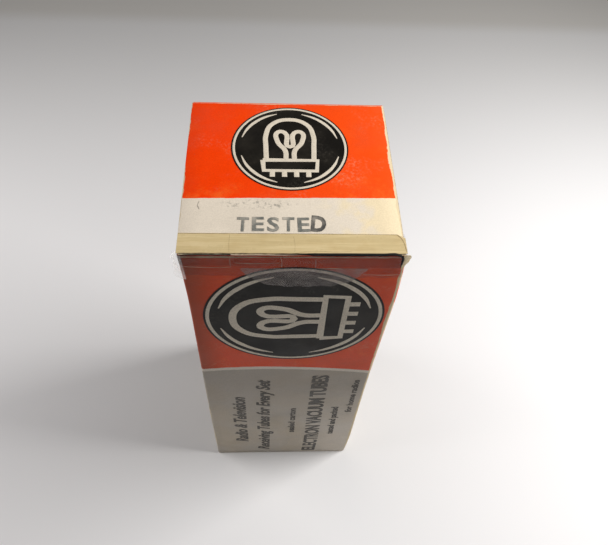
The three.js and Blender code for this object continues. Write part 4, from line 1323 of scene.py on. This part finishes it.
finer("liner_facing", "kraft_paper", KRAFT, 0.1, 60, "carton")
finer("liner_fluting", "kraft_paper", KRAFT, 0.0, 60, "carton")
make_bulb()
make_base()
make_pins()
make_electrodes()
make_getter()
finer("glass_stem", "clear_glass", STEM_GLASS, 0.35, 60)
finer("exhaust_tube", "clear_glass", STEM_GLASS, 0.0, 60)
finer("base_cement", "base_cement", CEMENT, 0.1)
finer("lower_mica", "mica", MICA, 0.05)
finer("upper_mica", "mica", MICA, 0.05)
finer("filament_strap", "nickel", NICKEL, 0.1)
for pin in (2, 4, 6, 8):
    finer(f"lead_wire_{pin}", "nickel", NICKEL, smooth=80)

bpy.data.objects.remove(CAGE)

# ---- Table, light and camera ----


def table_top():
    nothing_selected()
    bpy.ops.mesh.primitive_plane_add(size=3)
    floor = called("table")
    finish = Finish("table_white", 0.6)
    y = finish.axes()[1]
    # The floor turns darker further back, from 60 to 330 mm: painted shade for the light falling away. It is
    # darker still from 262 mm back.
    color = finish.mix(y.between(60, 330), (0.8, 0.795, 0.8, 1), (0.62, 0.61, 0.6, 1))
    color = finish.mix(y.between(262, 280), color, (0.56, 0.54, 0.51, 1))
    cloud = finish.noise(4, 3).between(0.3, 0.7, 0.98, 1.0)
    finish.give(Base_Color=finish.shade(color, cloud))
    floor.data.materials.append(finish.material)


def area_light(name, place, aim, width, height, power, color):
    data = bpy.data.lights.new(name, "AREA")
    data.shape = "RECTANGLE"
    data.size, data.size_y = width * MM, height * MM
    data.energy = power
    data.color = color
    lamp = bpy.data.objects.new(name, data)
    bpy.context.scene.collection.objects.link(lamp)
    lamp.location = mm(*place)
    lamp.rotation_euler = (mm(*aim) - lamp.location).to_track_quat("-Z", "Y").to_euler()


def surroundings():
    world = bpy.data.worlds.new("studio")
    bpy.context.scene.world = world
    world.use_nodes = True
    sky = world.node_tree.nodes["Background"].inputs
    sky["Color"].default_value = (0.9, 0.93, 1, 1)
    sky["Strength"].default_value = 0.09
    area_light("window", (280, 20, 300), (30, 20, 40), 200, 90, 1.64, (1, 0.985, 0.965))
    area_light("far_wall", (-300, 40, 260), (-60, 0, 30), 240, 120, 0.63, (1, 0.97, 0.95))


def camera():
    """Stands above and slightly to the left of the front, tipped a little."""
    elevation, azimuth, roll = (math.radians(angle) for angle in (55.61, -5.85, 4.96))
    distance, target, focal = 182.3, (5.49, 0, 93.37), 600.6
    level = math.cos(elevation)
    back = Vector((math.sin(azimuth) * level, -math.cos(azimuth) * level, math.sin(elevation)))
    right = UP.cross(back).normalized()
    up = back.cross(right)
    data = bpy.data.cameras.new("camera")
    data.sensor_width = 36
    data.lens = data.sensor_width * focal / PICTURE_WIDTH
    data.clip_start = 1 * MM
    data.clip_end = 20
    eye = bpy.data.objects.new("camera", data)
    bpy.context.scene.collection.objects.link(eye)
    tipped_right = right * math.cos(roll) + up * math.sin(roll)
    tipped_up = up * math.cos(roll) - right * math.sin(roll)
    turn = Matrix((tipped_right, tipped_up, back)).transposed().to_4x4()
    eye.matrix_world = Matrix.Translation(mm(*target) + back * distance * MM) @ turn
    bpy.context.scene.camera = eye


table_top()
surroundings()
camera()
bpy.context.scene.view_settings.view_transform = "Standard"
